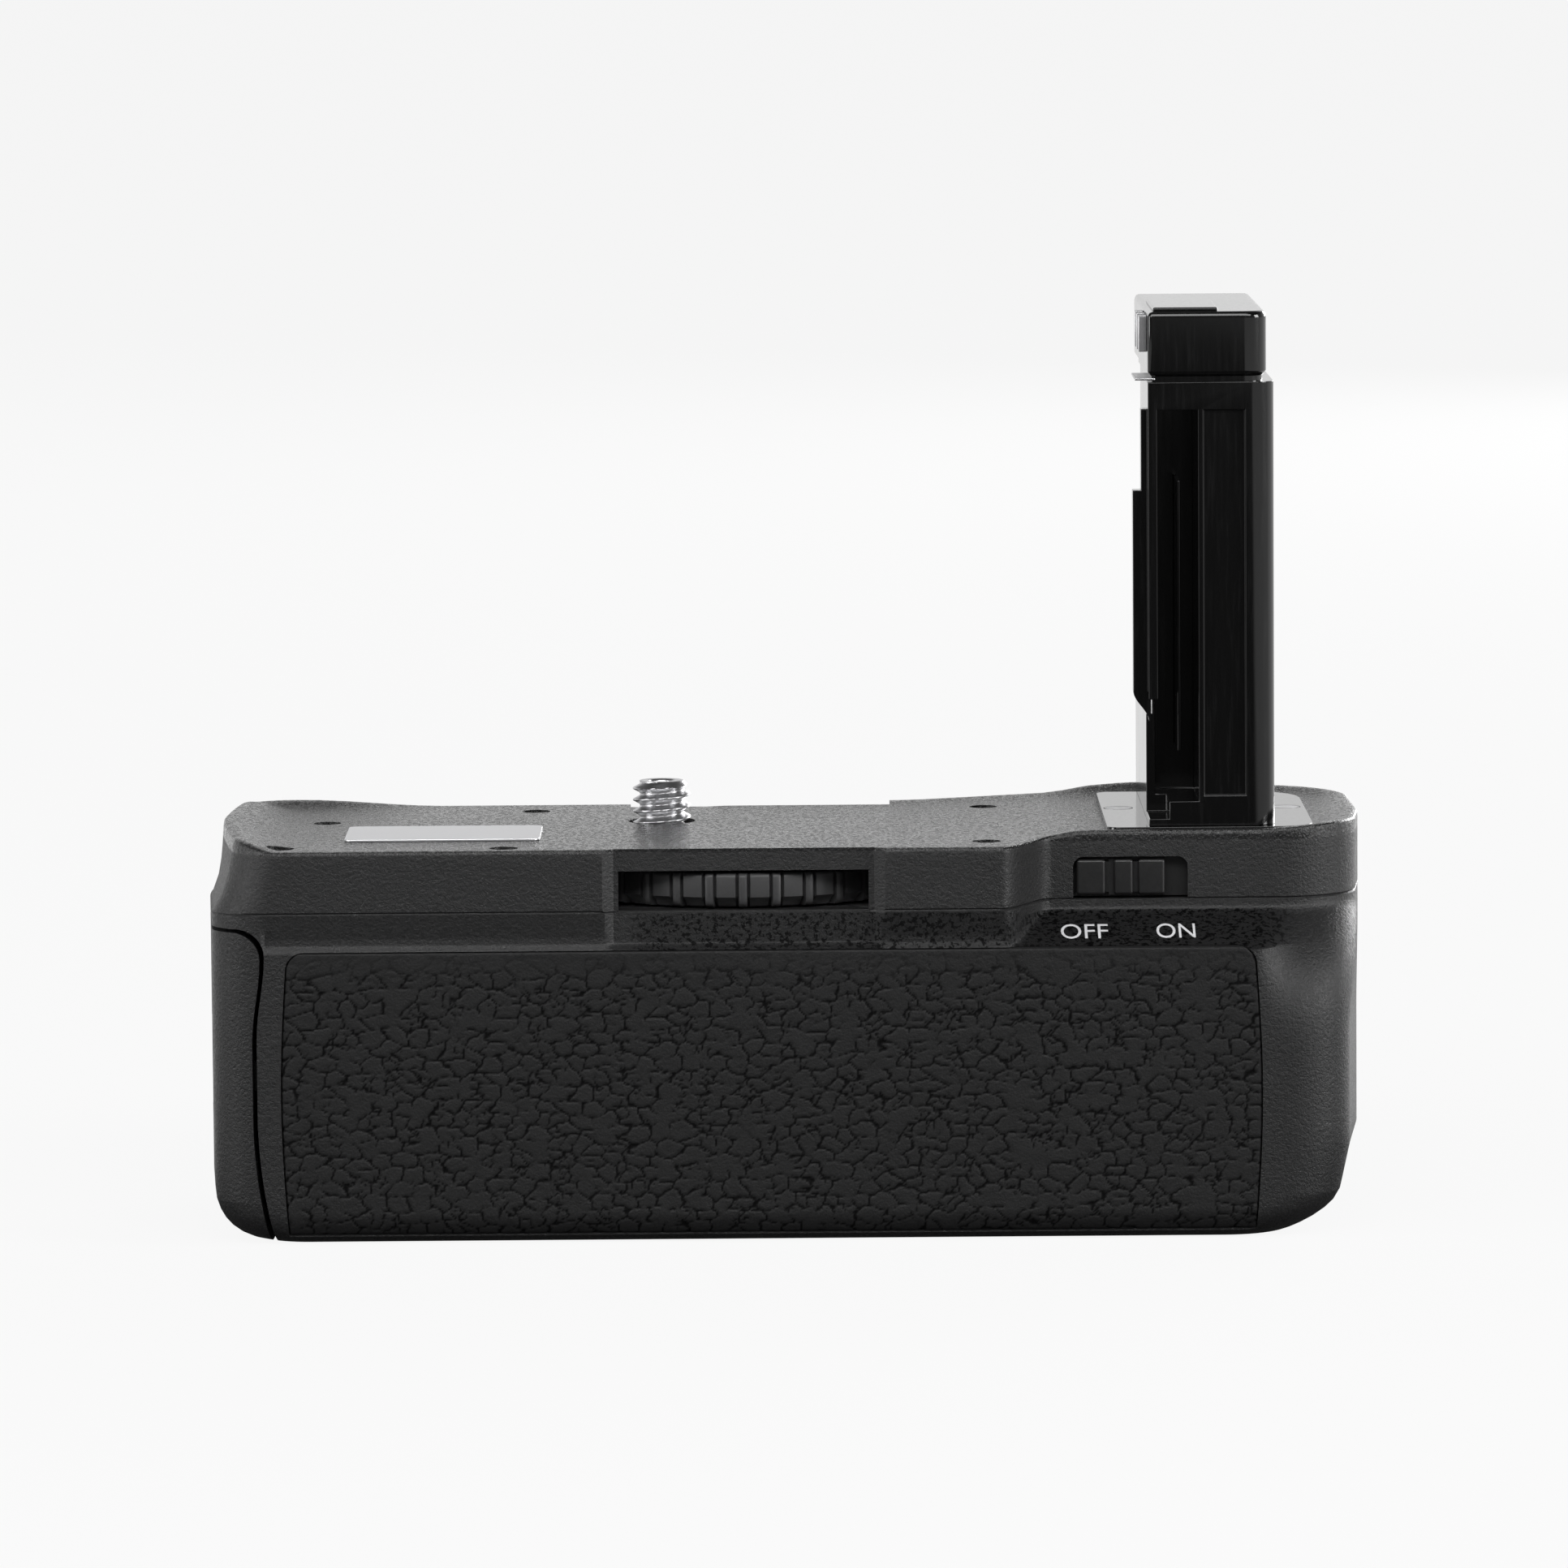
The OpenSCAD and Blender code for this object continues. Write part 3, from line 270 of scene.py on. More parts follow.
def rear_shift(x, z):
    """How far the housing's rear face is set back at one place: strip, ramp and thumb roll."""
    ramp = STEP * max(0.0, (z - RAMP_Z) / (LIP_Z - RAMP_Z))
    roll = STEP * max(0.0, (z - ROLL_Z) / (LIP_Z - ROLL_Z)) ** ROLL_POWER
    rest = mix(ramp, roll, ease((x - THUMB_X0) / (THUMB_X1 - THUMB_X0)))
    strip = strip_depth(x, z) * (1 - ease((x - STEP_X0) / 3))
    return max(0.0, soft_min(step_back(x), rest, REST_BLEND), strip)


# Mesh helpers


def add_object(name, data):
    made = bpy.data.objects.new(name, data)
    bpy.context.scene.collection.objects.link(made)
    return made


def new_object(name, verts, faces):
    mesh = bpy.data.meshes.new(name)
    mesh.from_pydata([tuple(v) for v in verts], [], faces)
    mesh.validate()
    return add_object(name, mesh)


def lifted(points, z):
    return [Vector((p.x, p.y, z)) for p in points]


def loft(name, rings, closed=False):
    """Solid through rings of equally many points, from the bottom up; closed joins last to first."""
    n = len(rings[0])
    m = len(rings)
    verts = [p for ring in rings for p in ring]
    faces = []
    for j in range(m if closed else m - 1):
        a = j * n
        b = (j + 1) % m * n
        for i in range(n):
            k = (i + 1) % n
            faces.append((a + i, a + k, b + k, b + i))
    if not closed:
        faces.append(tuple(reversed(range(n))))
        faces.append(tuple(range((m - 1) * n, m * n)))
    return new_object(name, verts, faces)


def prism(name, points, low, high, axis="Y"):
    """Prism over an outline: (x, z) points along Y, or (x, y) points along Z."""
    if axis == "Y":
        rings = [[Vector((x, y, z)) for x, z in points] for y in (high, low)]
    else:
        rings = [[Vector((x, y, z)) for x, y in points] for z in (low, high)]
    return loft(name, rings)


def block(name, low, high):
    points = [(low[0], low[1]), (high[0], low[1]), (high[0], high[1]), (low[0], high[1])]
    return prism(name, points, low[2], high[2], "Z")


def polar(r, turn, z):
    return Vector((r * math.cos(math.tau * turn), r * math.sin(math.tau * turn), z))


def plain_ring(z, r, steps):
    return [polar(r, k / steps, z) for k in range(steps)]


def lathe(name, profile, segments=72):
    """Solid of revolution about Z from (radius, z) points; the first and last lie on the axis."""
    verts = [(0, 0, profile[0][1])]
    for r, z in profile[1:-1]:
        verts += plain_ring(z, r, segments)
    verts.append((0, 0, profile[-1][1]))
    last = len(verts) - 1
    rows = len(profile) - 2
    faces = []
    for k in range(segments):
        n = (k + 1) % segments
        faces.append((0, 1 + n, 1 + k))
        for j in range(rows - 1):
            a = 1 + j * segments
            b = a + segments
            faces.append((a + k, a + n, b + n, b + k))
        top = 1 + (rows - 1) * segments
        faces.append((top + k, top + n, last))
    return new_object(name, verts, faces)


def place(piece, at, direction=(0, 0, 1)):
    """Moves a piece made about Z to a point, with its Z along a direction."""
    turn = Vector((0, 0, 1)).rotation_difference(Vector(direction))
    piece.data.transform(Matrix.Translation(Vector(at)) @ turn.to_matrix().to_4x4())
    return piece


def rod(name, at, radius, length, direction=(0, 0, 1)):
    profile = [(0, 0), (radius, 0), (radius, length), (0, length)]
    return place(lathe(name, profile), at, direction)


def carve(piece, tools, operation="DIFFERENCE"):
    """Cuts tools out of a piece, or joins them to it or keeps what they share; deletes the tools."""
    for tool in tools:
        cut = piece.modifiers.new("carve", "BOOLEAN")
        cut.operation = operation
        cut.solver = "EXACT"
        cut.object = tool
    settle(piece)
    for tool in tools:
        bpy.data.meshes.remove(tool.data)
    return piece


def finished_mesh(piece):
    bpy.context.view_layer.update()
    graph = bpy.context.evaluated_depsgraph_get()
    return bpy.data.meshes.new_from_object(piece.evaluated_get(graph))


def settle(piece):
    """Replaces a piece's mesh by the result of its modifiers."""
    made = finished_mesh(piece)
    old = piece.data
    piece.modifiers.clear()
    piece.data = made
    bpy.data.meshes.remove(old)


def tidy(piece):
    """Joins doubled points and merges flat neighbours into whole faces."""
    work = bmesh.new()
    work.from_mesh(piece.data)
    bmesh.ops.remove_doubles(work, verts=work.verts, dist=0.002)
    flat = math.radians(0.2)
    bmesh.ops.dissolve_limit(work, angle_limit=flat, verts=work.verts, edges=work.edges)
    work.to_mesh(piece.data)
    work.free()


def cad_copy(name, node):
    """New piece with a copy of a CAD node's mesh, in millimetres."""
    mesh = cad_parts[node].data.copy()
    mesh.materials.clear()
    mesh.transform(Matrix.Scale(1 / MM, 4))
    piece = add_object(name, mesh)
    tidy(piece)
    return piece


def round_edges(piece, width, segments=2, angle=40):
    """Rounds every edge sharper than an angle."""
    soft = piece.modifiers.new("round", "BEVEL")
    soft.width = width
    soft.segments = segments
    soft.limit_method = "ANGLE"
    soft.angle_limit = math.radians(angle)
    settle(piece)


def dress(piece, look, body, replaced=(), smooth=32):
    """Finishes a piece: metres, material, smooth shading, and the body that carries it."""
    mesh = piece.data
    mesh.transform(Matrix.Scale(MM, 4))
    mesh.materials.clear()
    mesh.materials.append(look)
    mesh.polygons.foreach_set("use_smooth", [True] * len(mesh.polygons))
    mesh.set_sharp_from_angle(angle=math.radians(smooth))
    weighted = piece.modifiers.new("normals", "WEIGHTED_NORMAL")
    weighted.keep_sharp = True
    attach(piece, body)
    if replaced:
        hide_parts(*replaced)


def paint(look, *nodes):
    """Gives CAD nodes that stay a better material."""
    for node in nodes:
        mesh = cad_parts[node].data
        mesh.materials.clear()
        mesh.materials.append(look)


# Materials


class Nodes:
    """Short calls to wire a tree of shader nodes."""

    def __init__(self, tree):
        self.tree = tree

    def node(self, kind, **inputs):
        made = self.tree.nodes.new("ShaderNode" + kind)
        for socket, value in inputs.items():
            self.feed(made.inputs[socket.replace("_", " ")], value)
        return made

    def feed(self, socket, value):
        if isinstance(value, bpy.types.NodeSocket):
            self.tree.links.new(value, socket)
        else:
            socket.default_value = value

    def sum(self, first, second, operation="ADD"):
        made = self.node("Math")
        made.operation = operation
        self.feed(made.inputs[0], first)
        self.feed(made.inputs[1], second)
        return made.outputs[0]

    def band(self, value, low, high, out_low=0.0, out_high=1.0):
        made = self.node(
            "MapRange", Value=value, From_Min=low, From_Max=high, To_Min=out_low, To_Max=out_high
        )
        made.interpolation_type = "SMOOTHSTEP"
        return made.outputs["Result"]

    def swap(self, kinds, usual, other):
        """Shader that is another one for the given kinds of ray."""
        path = self.node("LightPath")
        share = path.outputs[kinds[0]]
        for kind in kinds[1:]:
            share = self.sum(share, path.outputs[kind], "MAXIMUM")
        made = self.node("MixShader")
        for socket, value in zip(made.inputs, (share, usual, other)):
            self.feed(socket, value)
        return made.outputs[0]


class Look(Nodes):
    """A Principled material with short calls for its textures."""

    def __init__(self, name, colour, roughness, **sockets):
        self.material = bpy.data.materials.new(name)
        self.material.use_nodes = True
        super().__init__(self.material.node_tree)
        self.shader = self.tree.nodes["Principled BSDF"]
        self.shader.inputs["Base Color"].default_value = (*colour, 1)
        self.shader.inputs["Roughness"].default_value = roughness
        for socket, value in sockets.items():
            self.shader.inputs[socket.replace("_", " ")].default_value = value
        self.normal = None

    def place(self, stretch=(1, 1, 1)):
        source = self.node("TexCoord").outputs["Object"]
        return self.node("Mapping", Vector=source, Scale=stretch).outputs["Vector"]

    def noise(self, size, detail=2.0, rough=0.5, stretch=(1, 1, 1)):
        """Noise whose grain is about a size in millimetres."""
        scale = 1 / (size * MM)
        made = self.node(
            "TexNoise", Vector=self.place(stretch), Scale=scale, Detail=detail, Roughness=rough
        )
        return made.outputs["Fac"]

    def attribute(self, name):
        made = self.node("Attribute")
        made.attribute_name = name
        return made.outputs["Fac"]

    def colour(self, factor, first, second):
        made = self.node("Mix")
        made.data_type = "RGBA"
        self.feed(made.inputs[0], factor)
        made.inputs[6].default_value = (*first, 1)
        made.inputs[7].default_value = (*second, 1)
        self.feed(self.shader.inputs["Base Color"], made.outputs[2])

    def roughness(self, factor, low, high):
        self.feed(self.shader.inputs["Roughness"], self.band(factor, 0, 1, low, high))

    def bump(self, height, strength, depth):
        """Adds a bump whose full depth is given in millimetres."""
        made = self.node("Bump", Height=height, Strength=strength, Distance=depth * MM)
        if self.normal:
            self.feed(made.inputs["Normal"], self.normal)
        self.normal = made.outputs["Normal"]
        self.feed(self.shader.inputs["Normal"], self.normal)


def grey(value):
    return (value, value, value * 1.02)


def shell_look():
    """Fine-grained plastic: rough sides, a smoother plate, and dark pits with painted shade on the ramp
    under the switch and the strip under the wheel.
    """
    look = Look("shell_plastic", grey(0.012), 0.5, Specular_IOR_Level=0.5)
    grain = look.noise(0.34, 3, 0.7)
    pits = look.band(look.noise(0.6, 3, 0.75), 0.51, 0.57)
    pits_and_shade = look.sum(pits, look.attribute("pits_and_shade"), "MULTIPLY")
    height = look.node("SeparateXYZ", Vector=look.place()).outputs["Z"]
    sides = look.band(height, (PLATE - 0.5) * MM, (PLATE - 0.2) * MM, 1, 0)
    flecks = look.band(look.noise(0.4, 2, 0.6, (1, 0.5, 1)), 0.4, 0.62, 0.11, 0.33)
    fine = look.band(grain, 0.3, 0.7, 0.38, 0.6)
    rough = look.node("Mix", Factor=sides, A=flecks, B=fine).outputs["Result"]
    # Dark pit speckles, only where the painted-shade share is set: partly real pits, partly painted
    # shade.
    look.colour(pits_and_shade, grey(0.012), grey(0.002))
    look.feed(look.shader.inputs["Roughness"], rough)
    # Painted shade: the ramp and strip lose specular as a whole, so they render darker.
    shade_dull = look.band(look.attribute("pits_and_shade"), 0, 1, 0.5, 0.24)
    shine = look.sum(shade_dull, look.band(pits_and_shade, 0, 0.6, 1, 0.1), "MULTIPLY")
    look.feed(look.shader.inputs["Specular IOR Level"], shine)
    look.bump(grain, 1.0, 0.12)
    return look.material


def leather_look():
    """Rubber whose creases, stored on its mesh, carry painted shade: darker and duller than its
    pebbles.
    """
    look = Look("leather_rubber", grey(0.011), 0.6, Specular_IOR_Level=0.3)
    crease = look.attribute("crease")
    # Painted shade in the creases: darker colour and less specular.
    look.colour(crease, grey(0.011), grey(0.003))
    look.feed(look.shader.inputs["Specular IOR Level"], look.band(crease, 0, 1, 0.3, 0.06))
    look.roughness(look.noise(0.5, 3), 0.46, 0.66)
    look.bump(look.noise(0.3, 3, 0.7), 0.9, 0.09)
    return look.material


def gloss_look():
    look = Look("gloss_plastic", grey(0.004), 0.1, Specular_IOR_Level=0.5)
    streaks_and_sheen = look.noise(0.5, 3, 0.6, (1, 1, 0.06))
    # Painted reflection: lighter vertical streaks in the colour; the same streaks also vary the
    # roughness.
    look.colour(look.band(streaks_and_sheen, 0.5, 0.8), grey(0.003), grey(0.008))
    look.roughness(streaks_and_sheen, 0.07, 0.16)
    look.bump(look.noise(9, 1), 0.15, 0.05)
    return look.material


def steel_look():
    look = Look("turned_steel", grey(0.6), 0.22, Metallic=1.0)
    rings = look.noise(0.16, 2, 0.6, (0.15, 0.15, 1))
    look.colour(look.noise(1.2, 2), grey(0.52), grey(0.68))
    look.roughness(rings, 0.26, 0.4)
    return look.material


def grained_look(name, colour, roughness, spread, grain, rough=None, bump=None, **sockets):
    """Material whose colour, roughness and bump follow one grain."""
    look = Look(name, colour, roughness, **sockets)
    texture = look.noise(*grain)
    look.colour(texture, *spread)
    if rough:
        look.roughness(texture, *rough)
    if bump:
        look.bump(texture, *bump)
    return look.material


shell = shell_look()
leather = leather_look()
foam = grained_look(
    "soft_foam", grey(0.03), 0.85, (grey(0.02), grey(0.045)), (0.5, 3, 0.7),
    bump=(0.6, 0.15), Specular_IOR_Level=0.2,
)
gloss = gloss_look()
satin = grained_look(
    "satin_plastic", grey(0.014), 0.35, (grey(0.010), grey(0.018)), (0.2, 2),
    (0.3, 0.45), (0.25, 0.02),
)
wheel_rubber = grained_look(
    "wheel_rubber", grey(0.035), 0.45, (grey(0.028), grey(0.042)), (0.25, 2),
    (0.4, 0.55), (0.3, 0.02),
)
steel = steel_look()
label = grained_look(
    "label_foil", grey(0.8), 0.36, (grey(0.76), grey(0.88)), (0.25, 3, 0.6, (0.08, 1, 1)),
    (0.3, 0.46), (0.1, 0.01), Metallic=0.85,
)
brass = grained_look(
    "contact_brass", (0.62, 0.45, 0.2), 0.25, ((0.66, 0.48, 0.22), (0.5, 0.35, 0.16)), (1.5, 3),
    (0.18, 0.36), Metallic=1.0,
)
board = grained_look(
    "circuit_board", (0.02, 0.1, 0.05), 0.4, ((0.015, 0.08, 0.04), (0.025, 0.12, 0.06)),
    (0.6, 2, 0.5, (1, 0.3, 1)), bump=(0.2, 0.03),
)
ink = grained_look(
    "white_ink", grey(0.72), 0.55, (grey(0.68), grey(0.78)), (0.3, 2), bump=(0.1, 0.02)
)


# Lower housing

PAD_ROUND = 1.8
PAD_SWAY = 0.75
PAD_T = PAD_HIGH.y - PAD_LOW.y
GRIP_LOW, GRIP_HIGH = node_box("front_rubber_grip")
BUTTON_AXIS = Vector((FACET_H, 0, -FACET_W)).normalized()
BARREL_R = 5.2
# Depth of the barrel's floor below the facet
BUTTON_FLOOR = 7.55
TRIPOD_HOLE_R = 5.05
JACK_HOLE_R = 3.05
PAD_FIT = 0.05
GRIP_FIT = 0.12
HOLLOW_Z = (2, 3.5, 6, FACET_H, 16, 20, 23, 26, 28, 29, 30, 31, 32, 32.7, 34, SEAM + 1)
# Heights of the hinge's knuckles on the housing and on the door
BODY_KNUCKLES = ((5, 10.05), (23.95, 29))
DOOR_KNUCKLES = ((10.4, 23.6),)
KNUCKLE_R = 1.7
HINGE_GAP = 0.35
KNUCKLE_KEEP = 0.05


def ring(z, inset, shift):
    return lifted(outline(z, inset, shift), z)


def door_profile(grow):
    """Side view of the door as (x, z) points, grown by the gap where the housing is cut."""
    outside = LEFT - 4
    bend = DOOR_TOP - DOOR_CORNER
    points = []
    for k in range(25):
        z = bend * k / 24
        foot = DOOR_FOOT * max(0.0, 1 - z / 14) ** 2
        points.append((LEFT + DOOR_MID + foot + DOOR_HEAD * ease((z - 22) / 9), z))
    crown = points[-1][0] - DOOR_CORNER
    for k in range(1, 10):
        a = math.radians(10 * k)
        points.append((crown + DOOR_CORNER * math.cos(a), bend + DOOR_CORNER * math.sin(a)))
    points = [(outside, -4), (points[0][0], -4)] + points + [(outside, DOOR_TOP)]
    return [(x + grow, z + 0.8 * grow) for x, z in points]


def pad_edges(z, grow=0.0):
    """Left and right edge of the rear rubber at one height: slightly barrelled, rounded above."""
    top = PAD_HIGH.z + grow
    sway = PAD_SWAY * (1 - math.sin(math.pi * min(1, max(0, z / PAD_HIGH.z))))
    over = max(0.0, min(PAD_ROUND, z - top + PAD_ROUND))
    sway += PAD_ROUND - math.sqrt(PAD_ROUND**2 - over**2) - grow
    return PAD_LOW.x + sway, PAD_HIGH.x - sway


def pad_profile(grow):
    top = PAD_HIGH.z + grow
    heights = [-1] + [top * k / 12 for k in range(12)]
    heights += [top - PAD_ROUND * (1 - math.sin(math.radians(10 * k))) for k in range(10)]
    right = [(pad_edges(z, grow)[1], z) for z in heights]
    left = [(pad_edges(z, grow)[0], z) for z in reversed(heights)]
    return right + left


def housing_levels():
    low = [0, 0.12, 0.45, 1, 1.75, 2.6, 3.5, 4.7, 6, HEEL_H, FACET_H, 12, 15, 18, 20.5]
    roll = [ROLL_Z + (RAMP_Z - ROLL_Z) * k / 12 for k in range(1, 12)]
    ramp = [mix(RAMP_Z, SEAM - 0.7, k / 22) for k in range(23)]
    cove = [COVE_Z + COVE_H * k / 6 for k in range(7)]
    return sorted(low + roll + ramp + cove + [SEAM - 0.4, SEAM - SEAM_EDGE, SEAM])


def pits_and_shade_at(x, y, z):
    """Share of dark pits and painted shade: on the ramp under the switch and on the strip under the
    wheel.
    """
    if y > REAR + STEP + 1 or z < COVE_Z or z > SEAM - 0.3:
        return 0.0
    ramp = ease((x - STEP_X0) / 5) * (1 - ease((x - THUMB_X0) / 6)) * (1 - ease((z - LIP_Z) / 0.3))
    strip = 0.6 * ease((x - ZONE_X0) / 4) * (1 - ease((x - STEP_X0) / 4))
    return max(ramp, strip)


def button_point():
    return Vector((RIGHT - FACET_W / 2, box_middle("shutter_button").y, FACET_H / 2))


def knuckle_rods(spans, grow):
    """Rods about the door's pin, over the given heights."""
    pin = box_middle("door_hinge_pin")
    return [
        rod(f"knuckle_{z0}", (pin.x, pin.y, z0 - grow), KNUCKLE_R + grow, z1 - z0 + 2 * grow)
        for z0, z1 in spans
    ]


def make_housing():
    rings = [
        ring(z, SEAM_EDGE if z == SEAM else 0, lambda x: rear_shift(x, z))
        for z in housing_levels()
    ]
    house = loft("housing", rings)
    hollow = [ring(z, WALL, lambda x: rear_shift(x, min(SEAM, z + HOLLOW_LEAD))) for z in HOLLOW_Z]
    tripod = box_middle("tripod_socket")
    jack = box_middle("remote_jack")
    button = button_point()
    carve(house, [loft("hollow", hollow)])
    carve(house, [
        prism("door_cut", door_profile(DOOR_GAP), REAR - 5, FRONT + 5),
        prism("pad_cut", pad_profile(PAD_FIT), REAR - 2, REAR + PAD_T),
        block(
            "grip_cut",
            (GRIP_LOW.x, GRIP_LOW.y, GRIP_LOW.z - GRIP_FIT),
            (RIGHT, BULGE + 2, GRIP_HIGH.z + GRIP_FIT),
        ),
        rod("tripod_cut", (tripod.x, tripod.y, -1), TRIPOD_HOLE_R, 12),
        rod("jack_cut", (jack.x, FRONT + 1, jack.z), JACK_HOLE_R, 6, (0, -1, 0)),
        rod("button_cut", button + 3 * BUTTON_AXIS, BARREL_R + 0.05, 14, -BUTTON_AXIS),
        *knuckle_rods(DOOR_KNUCKLES, HINGE_GAP),
    ])
    # Painted shade and pits on the ramp and the strip, stored per point.
    layer = house.data.attributes.new("pits_and_shade", "FLOAT", "POINT")
    layer.data.foreach_set("value", [pits_and_shade_at(*v.co) for v in house.data.vertices])
    dress(house, shell, "body", ["lower_housing"])


def make_hinge():
    """Knuckles of the door's hinge, cut from the CAD shells outside the front face."""
    low, high = node_box("door_hinge_pin")
    corner = (low.x - 6, FRONT + 0.02, low.z - 3)
    far = (high.x + 6, high.y + 4, high.z + 3)
    for name, node, body, spans in (
        ("hinge_knuckles", "lower_housing", "body", BODY_KNUCKLES),
        ("door_knuckle", "battery_door", "door", DOOR_KNUCKLES),
    ):
        keep = carve(block("keep", corner, far), knuckle_rods(spans, KNUCKLE_KEEP), "UNION")
        leaf = carve(cad_copy(name, node), [keep], "INTERSECT")
        tidy(leaf)
        round_edges(leaf, 0.15)
        dress(leaf, shell, body)


# Top cover

HOLE_DEPTH_Z = SEAM + 2.2
END_BULGE = 0.8
END_SKEW = 0.9
# Heights of the plate's rim: left end, front left, beside the step, right corner, far side, by the post
END_RIM = 1.25
FRONT_RIM = 0.8
STEP_RIM = 0.75
CORNER_RIM = 0.55
FAR_RIM = 0.25
POST_RIM = 0.45
CREST = 0.4
SWITCH_CORNER = 1.1
WINDOW_D = 3.5
SCREW_HOLE_R = 3.7
NOTCH_X0 = VALLEY_X - 31.2
NOTCH_X1 = VALLEY_X - 2.2
NOTCH_D = 3.3


def rim_height(x, y):
    """Height of the plate's rim over one point of the outline."""
    if x < VALLEY_X - 20:
        end = END_RIM * ease((LEFT + 8.5 - x) / 7)
        front = FRONT_RIM * ease((LEFT + 25 - x) / 16) if y > 0 else 0
        return max(end, front)
    near = STEP_RIM * ease((x - STEP_X1 + 2) / 6) + CORNER_RIM * ease((x - RIGHT + 13) / 12)
    far = FAR_RIM + POST_RIM * ease((x - RIGHT + 34) / 6)
    far += CREST * math.exp(-(((x - RIGHT + 22) / 6) ** 2))
    return mix(near, far, ease((y + 12) / 32))


def end_bulge(p, z):
    """How far the cover's left end swells between its corners, more towards the plate."""
    middle = (REAR + FRONT) / 2
    across = (p.y - middle) / (FRONT - middle)
    rise = min(1, (z - SEAM) / (PLATE - SEAM))
    swell = END_BULGE * max(0, 1 - across**4) + END_SKEW * across
    return swell * rise * ease((LEFT + 9 - p.x) / 7)


def cover_ring(inset, z, share):
    path = outline(z, inset, step_back)
    outer = outline(z, 0, step_back)
    return [
        Vector((p.x - end_bulge(p, z), p.y, z + share * rim_height(q.x, q.y)))
        for p, q in zip(path, outer)
    ]


def solid_middles(node):
    """Middle of each separate solid in a CAD node, in millimetres."""
    work = bmesh.new()
    work.from_mesh(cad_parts[node].data)
    bmesh.ops.remove_doubles(work, verts=work.verts, dist=1e-6)
    seen = set()
    middles = []
    for start in work.verts:
        if start in seen:
            continue
        seen.add(start)
        group = [start]
        for v in group:
            fresh = {e.other_vert(v) for e in v.link_edges} - seen
            seen |= fresh
            group += fresh
        low, high = [Vector([end(v.co[i] for v in group) for i in range(3)]) for end in (min, max)]
        middles.append((low + high) / (2 * MM))
    work.free()
    return middles


def window_profile(x0, x1, top, r):
    points = [(x0, SEAM - 1), (x1, SEAM - 1)]
    for centre, first in (((x1 - r, top - r), 0), ((x0 + r, top - r), 90)):
        for k in range(7):
            a = math.radians(first + 15 * k)
            points.append((centre[0] + r * math.cos(a), centre[1] + r * math.sin(a)))
    return points


def make_cover():
    sides = [
        (SEAM_EDGE, SEAM, 0), (0, SEAM + SEAM_EDGE, 0), (0, SEAM + 2, 0), (0, SEAM + 3.8, 0),
        (0, PLATE - 1.6, 0.25), (0, PLATE - 0.5, 0.9), (0.05, PLATE - 0.22, 1), (0.18, PLATE - 0.06, 1),
    ]
    top = [
        (0.45, 1), (0.9, 0.98), (1.5, 0.85), (2.2, 0.62), (3, 0.4), (4, 0.2), (5.2, 0.06), (6.5, 0),
    ]
    rings = [cover_ring(*level) for level in sides]
    rings += [cover_ring(inset, PLATE, share) for inset, share in top]
    cover = loft("cover", rings)
    hollow = [ring(z, COVER_WALL, step_back) for z in (SEAM - 1, UNDER_Z)]
    screw = box_middle("camera_screw")
    face = REAR + STEP
    zone = [
        (ZONE_X0 - 2 * ZONE_SLANT, REAR - ZONE_D), (ZONE_X1 + 2 * ZONE_SLANT, REAR - ZONE_D),
        (ZONE_X1, REAR + ZONE_D), (ZONE_X0, REAR + ZONE_D),
    ]
    carve(cover, [loft("hollow", hollow)])
    tools = [
        prism("zone_cut", zone, SEAM - 1, PLATE + 3, "Z"),
        block(
            "wheel_cut",
            (WHEEL_WINDOW_X0, REAR - 1, SEAM - 1),
            (WHEEL_WINDOW_X1, REAR + WINDOW_D, WHEEL_HIGH.z + 0.4),
        ),
        prism(
            "switch_cut",
            window_profile(
                SWITCH_WINDOW_X, SWITCH_WINDOW_X + SWITCH_WINDOW_W, UNDER_Z - 0.1, SWITCH_CORNER
            ),
            face - 1,
            face + WINDOW_D,
        ),
        block(
            "notch_cut",
            (NOTCH_X0, FRONT - NOTCH_D, PLATE - 0.7),
            (NOTCH_X1, FRONT + 2, PLATE + 3),
        ),
        rod("screw_cut", (screw.x, screw.y, UNDER_Z - 1), SCREW_HOLE_R, 8),
    ]
    for at in solid_middles("top_cover_screws"):
        tools.append(rod("hole_cut", (at.x, at.y, HOLE_DEPTH_Z), HOLE_R, 10))
    carve(cover, tools)
    dress(cover, shell, "body", ["top_cover"])


# Battery door

POCKET_X = LEFT + 2.8
POCKET_IN = 3.6
# Thumb recess of the latch and the slot in it
RECESS_Y = REAR + 10.5
RECESS_L = 10.5
RECESS_H = 5.0
SLOT_Y = RECESS_Y + 1.5
SLOT_L = 7.0
SLOT_H = 1.8


def make_door():
    levels = [z for z in housing_levels() if z < DOOR_TOP] + [DOOR_TOP + 1]
    door = loft("door", [ring(z, 0, lambda x: strip_depth(x, z)) for z in levels])
    carve(door, [prism("door_keep", door_profile(0), REAR - 5, FRONT + 5)], "INTERSECT")
    middle = box_middle("door_latch").z
    carve(door, [
        block(
            "pocket_cut",
            (POCKET_X, REAR + POCKET_IN, POCKET_IN),
            (LEFT + 12, FRONT - POCKET_IN, DOOR_TOP - POCKET_IN),
        ),
        block(
            "thumb_cut",
            (LEFT - 2, RECESS_Y, middle - RECESS_H),
            (POCKET_X - 0.9, RECESS_Y + RECESS_L, middle + RECESS_H),
        ),
        block(
            "slot_cut",
            (LEFT, SLOT_Y, middle - SLOT_H),
            (POCKET_X + 1, SLOT_Y + SLOT_L, middle + SLOT_H),
        ),
        *knuckle_rods(BODY_KNUCKLES, HINGE_GAP),
    ])
    round_edges(door, 0.2, 2, 50)
    dress(door, shell, "door", ["battery_door"])


make_housing()
make_hinge()
make_cover()
make_door()


